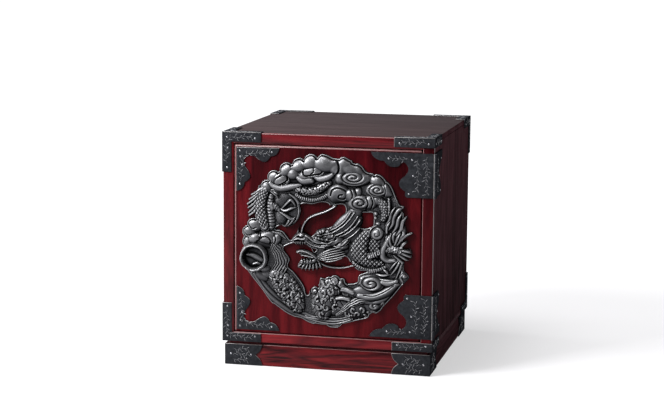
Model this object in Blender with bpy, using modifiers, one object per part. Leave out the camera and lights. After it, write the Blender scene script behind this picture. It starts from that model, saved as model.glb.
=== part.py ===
"""Small tansu chest: a boarded case on a plinth, one hinged door, iron fittings and a dragon ring.

Metres, +Z up. The front looks towards -Y. The origin is the middle of the whole footprint, on the floor.
"""

import math

import bmesh
import bpy
from mathutils import Matrix, Vector

# Fits between pieces
FIT = 0.0003
DOOR_GAP = 0.0015
KNUCKLE_GAP = 0.0005

# Case of boards
CASE_WIDTH = 0.356
CASE_DEPTH = 0.372
CASE_HEIGHT = 0.354
BOARD = 0.016
BOARD_EASE = 0.0010
REBATE_SHARE = 0.5
BACK_THICKNESS = 0.009
BACK_LAP = 0.008

# Red facing strips round the door opening
FACING_DEPTH = 0.008
STILE_WIDTH = 0.018
TOP_RAIL_HEIGHT = 0.018
BOTTOM_RAIL_HEIGHT = 0.016

# Plinth
PLINTH_HEIGHT = 0.0365
PLINTH_BOARD = 0.018
PLINTH_INSET = 0.0037
REVEAL_HEIGHT = 0.0050
REVEAL_INSET = 0.0050

# Inside fittings
SHELF_THICKNESS = 0.012
SHELF_LEVEL = 0.150
SHELF_SETBACK = 0.034
SHELF_SIDE_GAP = 0.0006
RUNNER_WIDTH = 0.010
RUNNER_HEIGHT = 0.014
CATCH_LENGTH = 0.046
CATCH_WIDTH = 0.016
CATCH_DEPTH = 0.014
STRIKE_THICKNESS = 0.0012

# Door
DOOR_THICKNESS = 0.020
DOOR_CHAMFER = 0.0028

# Iron sheet fittings
IRON = 0.0018
CORNER_LEG = 0.066
CORNER_WIDTH = 0.015
PLINTH_IRON_LEG = 0.064
PLINTH_IRON_NOTCH = 0.012
PLINTH_IRON_LIFT = 0.0005
DOOR_IRON_LEG = 0.074
DOOR_IRON_BAND = 0.0135
DOOR_IRON_LOBE = 0.0237
DOOR_IRON_INSET = 0.0040

# Hinges
HINGE_HEIGHT = 0.073
HINGE_DROP = 0.0045
HINGE_ARM = 0.104
HINGE_ARM_BAND = 0.0145
HINGE_ARM_LOBE = 0.0233
HINGE_BAND = 0.0440
HINGE_LOBE = 0.0565
HINGE_SIDE_LEAF = 0.072
KNUCKLE_COUNT = 5
KNUCKLE_RADIUS = 0.0031
KNUCKLE_STAND_OFF = 0.0002
HINGE_PIN_RADIUS = 0.0014

# Dragon ring on the door
RING_MARGIN = 0.0105
RING_RISE = 0.0026
RING_PLATE = 0.0030
RELIEF_HEIGHT = 0.0142
RELIEF_GAP = 0.0010
RELIEF_KEEP = 0.09
DRAWN_RADIUS = 148.0
DRAWN_GRAIN = 2.4

# Pull cup in the ring
CUP_HEIGHT = 0.0172
CUP_RADIUS = 0.0245
CUP_HOLLOW_RADIUS = 0.0165
CUP_FLOOR = 0.0030
CUP_PLACE = (-121.6, -31.4)

# Places worked out from the sizes
IRON_PROUD = FIT + IRON
HINGE_OFFSET = KNUCKLE_RADIUS + KNUCKLE_STAND_OFF
RIGHT_PROUD = HINGE_OFFSET + KNUCKLE_RADIUS
RING_SEAT = FIT + RING_PLATE + FIT
FRONT_PROUD = RING_SEAT + max(CUP_HEIGHT, RELIEF_HEIGHT)

X_LEFT = (IRON_PROUD - RIGHT_PROUD - CASE_WIDTH) / 2
X_RIGHT = X_LEFT + CASE_WIDTH
Y_FRONT = (FRONT_PROUD - IRON_PROUD - CASE_DEPTH) / 2
Y_BACK = Y_FRONT + CASE_DEPTH
Z_BOTTOM = PLINTH_HEIGHT + REVEAL_HEIGHT
Z_TOP = Z_BOTTOM + CASE_HEIGHT

BOARDS_FRONT = Y_FRONT + FACING_DEPTH + FIT
INSIDE_LEFT = X_LEFT + BOARD
INSIDE_RIGHT = X_RIGHT - BOARD
INSIDE_BOTTOM = Z_BOTTOM + BOARD
INSIDE_BACK = Y_BACK - BACK_THICKNESS

DOOR_LEFT = X_LEFT + max(STILE_WIDTH, BOARD) + DOOR_GAP
DOOR_RIGHT = X_RIGHT - max(STILE_WIDTH, BOARD) - DOOR_GAP
DOOR_BOTTOM = Z_BOTTOM + max(BOTTOM_RAIL_HEIGHT, BOARD) + DOOR_GAP
DOOR_TOP = Z_TOP - max(TOP_RAIL_HEIGHT, BOARD) - DOOR_GAP
DOOR_BACK = Y_FRONT + DOOR_THICKNESS

HINGE_X = X_RIGHT + HINGE_OFFSET
HINGE_Y = Y_FRONT - HINGE_OFFSET

RING_X = (DOOR_LEFT + DOOR_RIGHT) / 2
RING_Z = (DOOR_BOTTOM + DOOR_TOP) / 2 + RING_RISE
RING_RADIUS = min(DOOR_RIGHT - DOOR_LEFT, DOOR_TOP - DOOR_BOTTOM) / 2 - RING_MARGIN
DRAWING_SCALE = RING_RADIUS / DRAWN_RADIUS

SHARP = "VECTOR"
ROUND = "AUTO"
OVERCUT = 0.002

# Turns that stand a flat outline on a face of the chest, with its own up along +Z
ON_FRONT = Matrix.Rotation(math.radians(90), 4, "X")
ON_BACK = Matrix.Rotation(math.radians(180), 4, "Z") @ ON_FRONT
ON_RIGHT = Matrix.Rotation(math.radians(90), 4, "Z") @ ON_FRONT
ON_LEFT = Matrix.Rotation(math.radians(-90), 4, "Z") @ ON_FRONT


def clear_scene():
    for item in list(bpy.data.objects):
        bpy.data.objects.remove(item, do_unlink=True)


def new_collection(name):
    group = bpy.data.collections.new(name)
    bpy.context.scene.collection.children.link(group)
    return group


def finish(name, colour, roughness, metallic):
    material = bpy.data.materials.new(name)
    material.use_nodes = True
    shader = material.node_tree.nodes["Principled BSDF"]
    shader.inputs["Base Color"].default_value = (*colour, 1.0)
    shader.inputs["Roughness"].default_value = roughness
    shader.inputs["Metallic"].default_value = metallic
    return material


clear_scene()
PARTS = new_collection("tansu_chest")
CUTTERS = new_collection("cutters")

RED_LACQUER = finish("red_lacquer", (0.14, 0.012, 0.012), 0.25, 0.0)
DARK_LACQUER = finish("dark_lacquer", (0.030, 0.016, 0.016), 0.30, 0.0)
PALE_WOOD = finish("pale_wood", (0.50, 0.36, 0.22), 0.60, 0.0)
BLACK_IRON = finish("black_iron", (0.045, 0.048, 0.055), 0.45, 0.9)
BEATEN_IRON = finish("beaten_iron", (0.12, 0.12, 0.125), 0.35, 1.0)
STEEL = finish("steel", (0.45, 0.45, 0.46), 0.35, 1.0)
CATCH_BLACK = finish("catch_black", (0.02, 0.02, 0.02), 0.55, 0.0)


def add_piece(name, mesh, material):
    piece = bpy.data.objects.new(name, mesh)
    PARTS.objects.link(piece)
    piece.data.materials.clear()
    piece.data.materials.append(material)
    return piece


def add_cutter(name, mesh):
    cutter = bpy.data.objects.new(name, mesh)
    CUTTERS.objects.link(cutter)
    cutter.hide_render = True
    cutter.display_type = "WIRE"
    return cutter


def box_mesh(name, low, high):
    """A box between two corners, with its place in the mesh."""
    middle = (Vector(low) + Vector(high)) / 2
    size = Vector(high) - Vector(low)
    mesh = bpy.data.meshes.new(name)
    shape = bmesh.new()
    bmesh.ops.create_cube(shape, size=1.0,
                          matrix=Matrix.Translation(middle) @ Matrix.Diagonal((*size, 1.0)))
    shape.to_mesh(mesh)
    shape.free()
    return mesh


def cylinder_mesh(name, centre, radius, length, sides=16):
    """An upright cylinder about a centre."""
    mesh = bpy.data.meshes.new(name)
    shape = bmesh.new()
    bmesh.ops.create_cone(shape, cap_ends=True, segments=sides, radius1=radius, radius2=radius,
                          depth=length, matrix=Matrix.Translation(centre))
    shape.to_mesh(mesh)
    shape.free()
    mesh.shade_smooth()
    mesh.set_sharp_from_angle(angle=math.radians(40))
    return mesh


def apply_boolean(piece, other, operation):
    step = piece.modifiers.new(operation.lower(), "BOOLEAN")
    step.operation = operation
    step.object = other
    step.solver = "EXACT"


def cut_box(piece, low, high):
    apply_boolean(piece, add_cutter(piece.name + "_cut", box_mesh(piece.name + "_cut", low, high)),
                  "DIFFERENCE")


def ease_edges(piece, width, segments=2):
    step = piece.modifiers.new("eased_edges", "BEVEL")
    step.width = width
    step.segments = segments
    step.limit_method = "ANGLE"


def board(name, low, high, material, ease=BOARD_EASE):
    piece = add_piece(name, box_mesh(name, low, high), material)
    if ease:
        ease_edges(piece, ease)
    return piece


def plate_mesh(name, outline, turn, place, thickness=IRON, holes=(), fineness=4):
    """A flat outline of (across, up, corner kind) points, thickened outwards from its place on a face."""
    curve = bpy.data.curves.new(name, "CURVE")
    curve.dimensions = "2D"
    curve.fill_mode = "BOTH"
    curve.extrude = thickness / 2
    curve.resolution_u = fineness
    for edge in (outline, *holes):
        spline = curve.splines.new("BEZIER")
        spline.bezier_points.add(len(edge) - 1)
        spline.use_cyclic_u = True
        for point, (across, up, kind) in zip(spline.bezier_points, edge):
            point.co = (across, up, 0.0)
            point.handle_left_type = kind
            point.handle_right_type = kind
    source = bpy.data.objects.new(name + "_outline", curve)
    bpy.context.scene.collection.objects.link(source)
    source.matrix_world = Matrix.Translation(place) @ turn @ Matrix.Translation((0, 0, thickness / 2))
    bpy.context.view_layer.update()
    evaluated = source.evaluated_get(bpy.context.evaluated_depsgraph_get())
    mesh = bpy.data.meshes.new_from_object(evaluated)
    mesh.transform(source.matrix_world)
    bpy.data.objects.remove(source, do_unlink=True)
    bpy.data.curves.remove(curve)
    shape = bmesh.new()
    shape.from_mesh(mesh)
    bmesh.ops.remove_doubles(shape, verts=shape.verts, dist=0.00001)
    bmesh.ops.recalc_face_normals(shape, faces=shape.faces)
    shape.to_mesh(mesh)
    shape.free()
    mesh.name = name
    return mesh


# Case


def build_case():
    rebate = BOARD * REBATE_SHARE
    back_rebate = BACK_THICKNESS + FIT
    lap_left = INSIDE_LEFT - BACK_LAP
    lap_right = INSIDE_RIGHT + BACK_LAP
    lap_bottom = INSIDE_BOTTOM - BACK_LAP
    inside_top = Z_TOP - BOARD
    lap_top = inside_top + BACK_LAP

    top = board("top_board", (X_LEFT, BOARDS_FRONT, inside_top), (X_RIGHT, Y_BACK, Z_TOP), DARK_LACQUER)
    bottom = board("bottom_board", (X_LEFT, BOARDS_FRONT, Z_BOTTOM), (X_RIGHT, Y_BACK, INSIDE_BOTTOM),
                   DARK_LACQUER)
    for piece, low_z, high_z in ((top, inside_top - OVERCUT, Z_TOP - rebate),
                                 (bottom, Z_BOTTOM + rebate, INSIDE_BOTTOM + OVERCUT)):
        cut_box(piece, (X_LEFT - OVERCUT, BOARDS_FRONT - OVERCUT, low_z),
                (INSIDE_LEFT, Y_BACK + OVERCUT, high_z))
        cut_box(piece, (INSIDE_RIGHT, BOARDS_FRONT - OVERCUT, low_z),
                (X_RIGHT + OVERCUT, Y_BACK + OVERCUT, high_z))
    cut_box(top, (lap_left, Y_BACK - back_rebate, inside_top - OVERCUT),
            (lap_right, Y_BACK + OVERCUT, lap_top))
    cut_box(bottom, (lap_left, Y_BACK - back_rebate, lap_bottom),
            (lap_right, Y_BACK + OVERCUT, INSIDE_BOTTOM + OVERCUT))

    side_low = Z_BOTTOM + rebate + FIT
    side_high = Z_TOP - rebate - FIT
    left = board("left_side_board", (X_LEFT, BOARDS_FRONT, side_low),
                 (INSIDE_LEFT - FIT, Y_BACK, side_high),
                 DARK_LACQUER)
    right = board("right_side_board", (INSIDE_RIGHT + FIT, BOARDS_FRONT, side_low),
                  (X_RIGHT, Y_BACK, side_high),
                  DARK_LACQUER)
    cut_box(left, (lap_left, Y_BACK - back_rebate, side_low - OVERCUT),
            (INSIDE_LEFT + OVERCUT, Y_BACK + OVERCUT, side_high + OVERCUT))
    cut_box(right, (INSIDE_RIGHT - OVERCUT, Y_BACK - back_rebate, side_low - OVERCUT),
            (lap_right, Y_BACK + OVERCUT, side_high + OVERCUT))
    board("back_panel", (lap_left + FIT, INSIDE_BACK, lap_bottom + FIT),
          (lap_right - FIT, Y_BACK, lap_top - FIT), PALE_WOOD, ease=0)

    facing_back = Y_FRONT + FACING_DEPTH
    board("front_left_stile", (X_LEFT, Y_FRONT, Z_BOTTOM), (X_LEFT + STILE_WIDTH, facing_back, Z_TOP),
          RED_LACQUER)
    board("front_right_stile", (X_RIGHT - STILE_WIDTH, Y_FRONT, Z_BOTTOM), (X_RIGHT, facing_back, Z_TOP),
          RED_LACQUER)
    rail_left = X_LEFT + STILE_WIDTH + FIT
    rail_right = X_RIGHT - STILE_WIDTH - FIT
    board("front_top_rail", (rail_left, Y_FRONT, Z_TOP - TOP_RAIL_HEIGHT), (rail_right, facing_back, Z_TOP),
          RED_LACQUER)
    board("front_bottom_rail", (rail_left, Y_FRONT, Z_BOTTOM),
          (rail_right, facing_back, Z_BOTTOM + BOTTOM_RAIL_HEIGHT), RED_LACQUER)


def build_inside():
    shelf_front = DOOR_BACK + SHELF_SETBACK
    shelf_back = INSIDE_BACK - SHELF_SIDE_GAP
    shelf_bottom = INSIDE_BOTTOM + SHELF_LEVEL
    board("shelf", (INSIDE_LEFT + SHELF_SIDE_GAP, shelf_front, shelf_bottom),
          (INSIDE_RIGHT - SHELF_SIDE_GAP, shelf_back, shelf_bottom + SHELF_THICKNESS), PALE_WOOD)
    runner_top = shelf_bottom - FIT
    for name, low_x in (("shelf_runner_left", INSIDE_LEFT),
                        ("shelf_runner_right", INSIDE_RIGHT - RUNNER_WIDTH)):
        board(name, (low_x, shelf_front, runner_top - RUNNER_HEIGHT),
              (low_x + RUNNER_WIDTH, shelf_back, runner_top),
              PALE_WOOD)

    # Magnetic catch on the left side board, level with the pull cup, behind the free edge of the door
    strike_front = DOOR_BACK + FIT
    catch_front = strike_front + STRIKE_THICKNESS + FIT
    catch_middle = RING_Z + CUP_PLACE[1] * DRAWING_SCALE
    catch_right = max(INSIDE_LEFT, DOOR_LEFT) + CATCH_WIDTH
    half_length = CATCH_LENGTH / 2
    board("magnet_catch", (INSIDE_LEFT, catch_front, catch_middle - half_length),
          (catch_right, catch_front + CATCH_DEPTH, catch_middle + half_length), CATCH_BLACK)
    strike = board("strike_plate", (DOOR_LEFT + DOOR_CHAMFER, strike_front, catch_middle - half_length),
                   (catch_right, strike_front + STRIKE_THICKNESS, catch_middle + half_length), STEEL,
                   ease=0)
    hang_on_door(strike)


def build_plinth():
    left = X_LEFT + PLINTH_INSET
    right = X_RIGHT - PLINTH_INSET
    front = Y_FRONT + PLINTH_INSET
    back = Y_BACK - PLINTH_INSET
    high = Z_BOTTOM - FIT
    beyond = OVERCUT

    face = board("plinth_front", (left, front, 0), (right, front + PLINTH_BOARD, high), RED_LACQUER)
    rear = board("plinth_back", (left, back - PLINTH_BOARD, 0), (right, back, high), DARK_LACQUER)
    side_front = front + PLINTH_BOARD + FIT
    side_back = back - PLINTH_BOARD - FIT
    west = board("plinth_left", (left, side_front, 0), (left + PLINTH_BOARD, side_back, high), DARK_LACQUER)
    east = board("plinth_right", (right - PLINTH_BOARD, side_front, 0), (right, side_back, high),
                 DARK_LACQUER)

    # A step round the top edge leaves the shadow line under the case
    step = (PLINTH_HEIGHT, high + beyond)
    for piece in (face, rear, west):
        cut_box(piece, (left - beyond, front - beyond, step[0]),
                (left + REVEAL_INSET, back + beyond, step[1]))
    for piece in (face, rear, east):
        cut_box(piece, (right - REVEAL_INSET, front - beyond, step[0]),
                (right + beyond, back + beyond, step[1]))
    cut_box(face, (left - beyond, front - beyond, step[0]), (right + beyond, front + REVEAL_INSET, step[1]))
    cut_box(rear, (left - beyond, back - REVEAL_INSET, step[0]), (right + beyond, back + beyond, step[1]))


# Iron fittings on the case


def corner_iron(name, corner, outward, reach, capped):
    """Bent sheet over one corner of the case: a strip along each edge that runs from it, on both faces."""
    corner = Vector(corner)

    def span(axis, start, end):
        ends = (corner[axis] + outward[axis] * start, corner[axis] + outward[axis] * end)
        return min(ends), max(ends)

    def block(spans):
        return Vector([low for low, high in spans]), Vector([high for low, high in spans])

    proud = (IRON_PROUD, IRON_PROUD, IRON_PROUD if capped else 0.0)
    seat = (FIT, FIT, FIT if capped else OVERCUT)
    low, high = block([span(axis, -reach[axis], proud[axis]) for axis in range(3)])
    piece = add_piece(name, box_mesh(name, low, high), BLACK_IRON)
    low, high = block([span(axis, -reach[axis] - OVERCUT, seat[axis]) for axis in range(3)])
    cut_box(piece, low, high)
    for normal in range(3):
        others = [axis for axis in range(3) if axis != normal]
        if any(reach[axis] <= CORNER_WIDTH for axis in others):
            continue
        spans = [None] * 3
        spans[normal] = span(normal, -OVERCUT, proud[normal] + OVERCUT)
        for axis in others:
            spans[axis] = span(axis, -reach[axis] - OVERCUT, -CORNER_WIDTH)
        low, high = block(spans)
        cut_box(piece, low, high)


def build_corner_irons():
    full = (CORNER_LEG, CORNER_LEG, CORNER_LEG)
    beside_hinge = (CORNER_LEG, CORNER_LEG, CORNER_WIDTH)
    for depth_name, y, out_y in (("front", Y_FRONT, -1), ("back", Y_BACK, 1)):
        for level_name, z, out_z in (("top", Z_TOP, 1), ("bottom", Z_BOTTOM, -1)):
            for side_name, x, out_x in (("left", X_LEFT, -1), ("right", X_RIGHT, 1)):
                by_hinge = depth_name == "front" and side_name == "right"
                corner_iron("corner_iron_%s_%s_%s" % (depth_name, level_name, side_name), (x, y, z),
                            (out_x, out_y, out_z), beside_hinge if by_hinge else full, out_z > 0)


def plinth_iron_outline(direction):
    """One arm of a plinth iron, its far end cut to an ogee notch; direction is 1 or -1 along the face."""
    low = PLINTH_IRON_LIFT
    high = PLINTH_HEIGHT
    middle = (low + high) / 2
    quarter = (high - low) / 4
    leg = PLINTH_IRON_LEG
    notch = PLINTH_IRON_NOTCH
    points = [(-IRON_PROUD, low, SHARP), (-IRON_PROUD, high, SHARP), (leg, high, SHARP),
              (leg - notch * 0.35, middle + quarter * 0.8, ROUND), (leg - notch, middle, SHARP),
              (leg - notch * 0.35, middle - quarter * 0.8, ROUND), (leg, low, SHARP)]
    return [(across * direction, up, kind) for across, up, kind in points]


def build_plinth_irons():
    left = X_LEFT + PLINTH_INSET
    right = X_RIGHT - PLINTH_INSET
    front = Y_FRONT + PLINTH_INSET
    back = Y_BACK - PLINTH_INSET
    corners = (("front_left", left, front, ON_FRONT, 1, ON_LEFT, -1),
               ("front_right", right, front, ON_FRONT, -1, ON_RIGHT, 1),
               ("back_left", left, back, ON_BACK, -1, ON_LEFT, 1),
               ("back_right", right, back, ON_BACK, 1, ON_RIGHT, -1))
    for corner_name, x, y, facing, facing_way, siding, siding_way in corners:
        name = "plinth_iron_" + corner_name
        out_x = math.copysign(FIT, x - (left + right) / 2)
        out_y = math.copysign(FIT, y - (front + back) / 2)
        piece = add_piece(name,
                          plate_mesh(name, plinth_iron_outline(facing_way), facing, (x, y + out_y, 0)),
                          BLACK_IRON)
        wing = add_cutter(name + "_wing",
                          plate_mesh(name + "_wing", plinth_iron_outline(siding_way), siding,
                                     (x + out_x, y, 0)))
        apply_boolean(piece, wing, "UNION")


# Door and hinges


def make_door_pivot():
    pivot = bpy.data.objects.new("door_pivot", None)
    PARTS.objects.link(pivot)
    pivot.location = (HINGE_X, HINGE_Y, Z_BOTTOM)
    bpy.context.view_layer.update()
    return pivot


DOOR_PIVOT = make_door_pivot()


def hang_on_door(piece):
    piece.parent = DOOR_PIVOT
    piece.matrix_parent_inverse = DOOR_PIVOT.matrix_world.inverted()


def cusped_leg(length, band, lobe):
    """One arm of a cloud-cut plate, from its tip back to the bay; up is away from the straight edge."""
    return [(length, 0.0, SHARP), (length * 0.98, lobe * 0.22, ROUND), (length * 0.89, lobe * 0.53, ROUND),
            (length * 0.79, lobe * 0.60, SHARP), (length * 0.74, lobe * 0.86, ROUND),
            (length * 0.66, lobe, ROUND), (length * 0.54, lobe * 0.88, ROUND),
            (length * 0.41, band * 1.08, ROUND)]


def build_door():
    panel = add_piece("door_panel", box_mesh("door_panel", (DOOR_LEFT, Y_FRONT, DOOR_BOTTOM),
                                             (DOOR_RIGHT, DOOR_BACK, DOOR_TOP)), RED_LACQUER)
    ease_edges(panel, DOOR_CHAMFER)
    hang_on_door(panel)

    leg = cusped_leg(DOOR_IRON_LEG, DOOR_IRON_BAND, DOOR_IRON_LOBE)
    bay = [(DOOR_IRON_BAND * 1.35, DOOR_IRON_BAND * 1.05, ROUND),
           (DOOR_IRON_BAND * 1.05, DOOR_IRON_BAND * 1.35, ROUND)]
    upright_leg = [(up, across, kind) for across, up, kind in reversed(leg)]
    outline = [(0.0, 0.0, SHARP)] + leg + bay + upright_leg
    for name, edge, way in (("door_iron_upper_left", DOOR_TOP - DOOR_IRON_INSET, -1),
                            ("door_iron_lower_left", DOOR_BOTTOM + DOOR_IRON_INSET, 1)):
        points = [(across, up * way, kind) for across, up, kind in outline]
        place = (DOOR_LEFT + DOOR_IRON_INSET, Y_FRONT - FIT, edge)
        hang_on_door(add_piece(name, plate_mesh(name, points, ON_FRONT, place), BLACK_IRON))


def hinge_leaf_outline():
    """Door leaf from the hinge axis: an arm along the door's edge and a broad band down to its foot."""
    arm = [(across + HINGE_OFFSET, up, kind) for across, up, kind in
           cusped_leg(HINGE_ARM, HINGE_ARM_BAND, HINGE_ARM_LOBE)[:-1]]
    band = HINGE_BAND + HINGE_OFFSET
    lobe = HINGE_LOBE + HINGE_OFFSET
    foot = HINGE_HEIGHT
    throat = [(band * 1.20, HINGE_ARM_BAND, ROUND), (band * 1.02, HINGE_ARM_BAND * 1.30, ROUND),
              (band * 0.95, foot * 0.36, ROUND), (band * 1.02, foot * 0.48, ROUND)]
    swell = [(lobe * 0.98, foot * 0.62, ROUND), (lobe, foot * 0.72, ROUND), (lobe * 0.92, foot * 0.82, ROUND),
             (band * 1.04, foot * 0.87, SHARP), (band * 1.06, foot * 0.95, ROUND), (band, foot, SHARP)]
    return [(0.0, 0.0, SHARP)] + arm + throat + swell + [(0.0, foot, SHARP)]


def side_leaf_outline():
    """Case leaf from the hinge axis back along the side, its far edge cut to two lobes."""
    reach = HINGE_SIDE_LEAF
    foot = HINGE_HEIGHT
    return [(0.0, 0.0, SHARP), (reach, 0.0, SHARP), (reach * 0.96, foot * 0.14, ROUND),
            (reach * 0.84, foot * 0.22, SHARP), (reach * 0.74, foot * 0.33, ROUND),
            (reach * 0.60, foot * 0.42, ROUND), (reach * 0.60, foot * 0.56, ROUND),
            (reach * 0.74, foot * 0.66, ROUND), (reach * 0.84, foot * 0.78, SHARP),
            (reach * 0.84, foot * 0.92, ROUND), (reach * 0.76, foot, SHARP), (0.0, foot, SHARP)]


def knuckle_spans(low):
    """Bottom and top of each knuckle of a hinge that starts at a height."""
    pitch = HINGE_HEIGHT / KNUCKLE_COUNT
    return [(low + index * pitch + KNUCKLE_GAP / 2, low + (index + 1) * pitch - KNUCKLE_GAP / 2)
            for index in range(KNUCKLE_COUNT)]


def roll_knuckles(leaf, own, others):
    """Join a leaf's own knuckles to it, clear it round the other leaf's knuckles and bore it for the pin."""
    for index, (low, high) in enumerate(own):
        name = "%s_knuckle_%d" % (leaf.name, index)
        centre = (HINGE_X, HINGE_Y, (low + high) / 2)
        apply_boolean(leaf, add_cutter(name, cylinder_mesh(name, centre, KNUCKLE_RADIUS, high - low)),
                      "UNION")
    clear = KNUCKLE_RADIUS + KNUCKLE_GAP
    for low, high in others:
        cut_box(leaf, (HINGE_X - clear, HINGE_Y - clear, low - KNUCKLE_GAP),
                (HINGE_X + clear, HINGE_Y + clear, high + KNUCKLE_GAP))
    name = leaf.name + "_bore"
    bore = cylinder_mesh(name, (HINGE_X, HINGE_Y, (DOOR_BOTTOM + DOOR_TOP) / 2), HINGE_PIN_RADIUS + FIT,
                         CASE_HEIGHT)
    apply_boolean(leaf, add_cutter(name, bore), "DIFFERENCE")


def build_hinges():
    upper_top = DOOR_TOP - HINGE_DROP
    lower_bottom = DOOR_BOTTOM + HINGE_DROP
    for level, edge, way, low in (("upper", upper_top, -1, upper_top - HINGE_HEIGHT),
                                  ("lower", lower_bottom, 1, lower_bottom)):
        spans = knuckle_spans(low)
        case_knuckles = spans[0::2]
        door_knuckles = spans[1::2]

        name = "hinge_%s_door_leaf" % level
        points = [(-across, up * way, kind) for across, up, kind in hinge_leaf_outline()]
        leaf = add_piece(name, plate_mesh(name, points, ON_FRONT, (HINGE_X, Y_FRONT - FIT, edge)),
                         BLACK_IRON)
        roll_knuckles(leaf, door_knuckles, case_knuckles)
        hang_on_door(leaf)

        name = "hinge_%s_case_leaf" % level
        points = [(across, up * way, kind) for across, up, kind in side_leaf_outline()]
        leaf = add_piece(name, plate_mesh(name, points, ON_RIGHT, (X_RIGHT + FIT, HINGE_Y, edge)),
                         BLACK_IRON)
        roll_knuckles(leaf, case_knuckles, door_knuckles)

        name = "hinge_%s_pin" % level
        centre = (HINGE_X, HINGE_Y, low + HINGE_HEIGHT / 2)
        add_piece(name, cylinder_mesh(name, centre, HINGE_PIN_RADIUS, HINGE_HEIGHT, sides=12), STEEL)


# Dragon ring, drawn in millimetres from the middle of a ring of DRAWN_RADIUS


def through(points, steps):
    """Points of a smooth line through the given ones (Catmull-Rom)."""
    padded = [points[0], *points, points[-1]]
    line = []
    for before, start, end, after in zip(padded, padded[1:], padded[2:], padded[3:]):
        for step in range(steps):
            t = step / steps
            line.append(tuple(0.5 * (2 * b + (c - a) * t + (2 * a - 5 * b + 4 * c - d) * t * t
                                     + (3 * b - a - 3 * c + d) * t ** 3)
                              for a, b, c, d in zip(before, start, end, after)))
    line.append(points[-1])
    return line


def rib(points, rise, steps=5):
    """Swellings strung along a line of (across, up, half width) points, with rise for the widest one."""
    widest = max(point[2] for point in points)
    return [(across, up, half, half, rise * half / widest) for across, up, half in through(points, steps)]


def on_drawing(points):
    """An outline in metres through points given in drawing millimetres."""
    return [(across * DRAWING_SCALE, up * DRAWING_SCALE, ROUND) for across, up in points]


def build_ring_plate():
    """The ring's lobed back plate, pierced where the red door shows between the figures."""
    edge = [
        (-14, 146), (0, 144), (13, 139), (28, 142), (40, 137), (59, 128), (68, 118), (90, 114),
        (100, 105), (109, 96), (117, 78), (123, 66), (131, 63), (127, 56), (136, 47), (133, 36),
        (135, 24), (146, 20), (136, 11), (138, 1), (144, -12), (143, -23), (132, -30), (132, -43),
        (140, -54), (127, -70), (114, -87), (98, -105), (92, -113), (73, -125), (51, -132), (39, -140),
        (21, -145), (-1, -144), (-16, -142), (-30, -138), (-42, -132), (-54, -130), (-66, -125),
        (-78, -118), (-92, -109), (-102, -97), (-110, -86), (-129, -63), (-143, -43), (-146, -32),
        (-145, -19), (-146, -6), (-142, 3), (-146, 11), (-144, 22), (-133, 34), (-136, 46), (-137, 60),
        (-130, 77), (-117, 88), (-106, 104), (-100, 113), (-82, 127), (-60, 134), (-44, 139), (-34, 144),
        (-24, 146)]
    under_claw = [
        (-45, 59), (-43, 49), (-48, 34), (-58, 24), (-70, 21), (-77, 24), (-87, 17), (-74, 14), (-66, 5),
        (-60, -1), (-53, 6), (-49, 15), (-45, 25), (-38, 35), (-26, 43), (-9, 50), (5, 59), (2, 64),
        (-9, 65), (-24, 61), (-36, 62)]
    over_brow = [
        (12, 58), (19, 62), (30, 62), (33, 51), (23, 38), (7, 24), (-4, 22), (-16, 16), (-21, 10),
        (-29, 6), (-36, 10), (-41, 15), (-38, 25), (-29, 36), (-14, 44), (1, 51)]
    behind_horns = [(58, 49), (71, 51), (79, 50), (80, 39), (79, 30), (69, 25), (59, 26), (56, 38)]
    below_mouth = [
        (-58, -6), (-48, -7), (-36, -6), (-26, -12), (-16, -15), (-26, -22), (-38, -20), (-49, -17),
        (-50, -21), (-36, -26), (-26, -29), (-42, -33), (-48, -45), (-34, -48), (-16, -46), (-1, -43),
        (19, -46), (44, -40), (55, -46), (71, -47), (56, -54), (53, -66), (35, -69), (31, -60), (19, -56),
        (10, -54), (-8, -60), (-12, -73), (-25, -79), (-29, -91), (-34, -90), (-38, -76), (-54, -55),
        (-65, -45), (-62, -32), (-73, -15)]
    under_cheek = [(-7, -35), (7, -29), (21, -29), (34, -24), (40, -34), (23, -39), (5, -38)]
    holes = [on_drawing(hole) for hole in (under_claw, over_brow, behind_horns, below_mouth, under_cheek)]
    name = "ring_plate"
    mesh = plate_mesh(name, on_drawing(edge), ON_FRONT, (RING_X, Y_FRONT - FIT, RING_Z),
                      thickness=RING_PLATE, holes=holes, fineness=2)
    hang_on_door(add_piece(name, mesh, BEATEN_IRON))


def ball_mesh():
    """A ball of radius 1 about the origin."""
    mesh = bpy.data.meshes.new("ball")
    shape = bmesh.new()
    bmesh.ops.create_icosphere(shape, subdivisions=2, radius=1.0)
    shape.to_mesh(mesh)
    shape.free()
    return mesh


BALL = ball_mesh()


def lobe_mesh(name, lobes, grow):
    """Swellings of (across, up, half width, half height, share of the full rise), squashed on the plate."""
    mesh = bpy.data.meshes.new(name)
    shape = bmesh.new()
    for across, up, half_width, half_height, rise in lobes:
        place = Matrix.Translation((RING_X + across * DRAWING_SCALE, Y_FRONT - RING_SEAT,
                                    RING_Z + up * DRAWING_SCALE))
        size = Matrix.Diagonal((half_width * DRAWING_SCALE + grow, rise * RELIEF_HEIGHT + grow,
                                half_height * DRAWING_SCALE + grow, 1.0))
        swelling = BALL.copy()
        swelling.transform(place @ size)
        shape.from_mesh(swelling)
        bpy.data.meshes.remove(swelling)
    shape.to_mesh(mesh)
    shape.free()
    return mesh


def melt(piece):
    """Run a piece's swellings together into one skin of few faces."""
    skin = piece.modifiers.new("skin", "REMESH")
    skin.mode = "VOXEL"
    skin.voxel_size = DRAWN_GRAIN * DRAWING_SCALE
    skin.use_smooth_shade = True
    thin = piece.modifiers.new("thin", "DECIMATE")
    thin.ratio = RELIEF_KEEP


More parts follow.
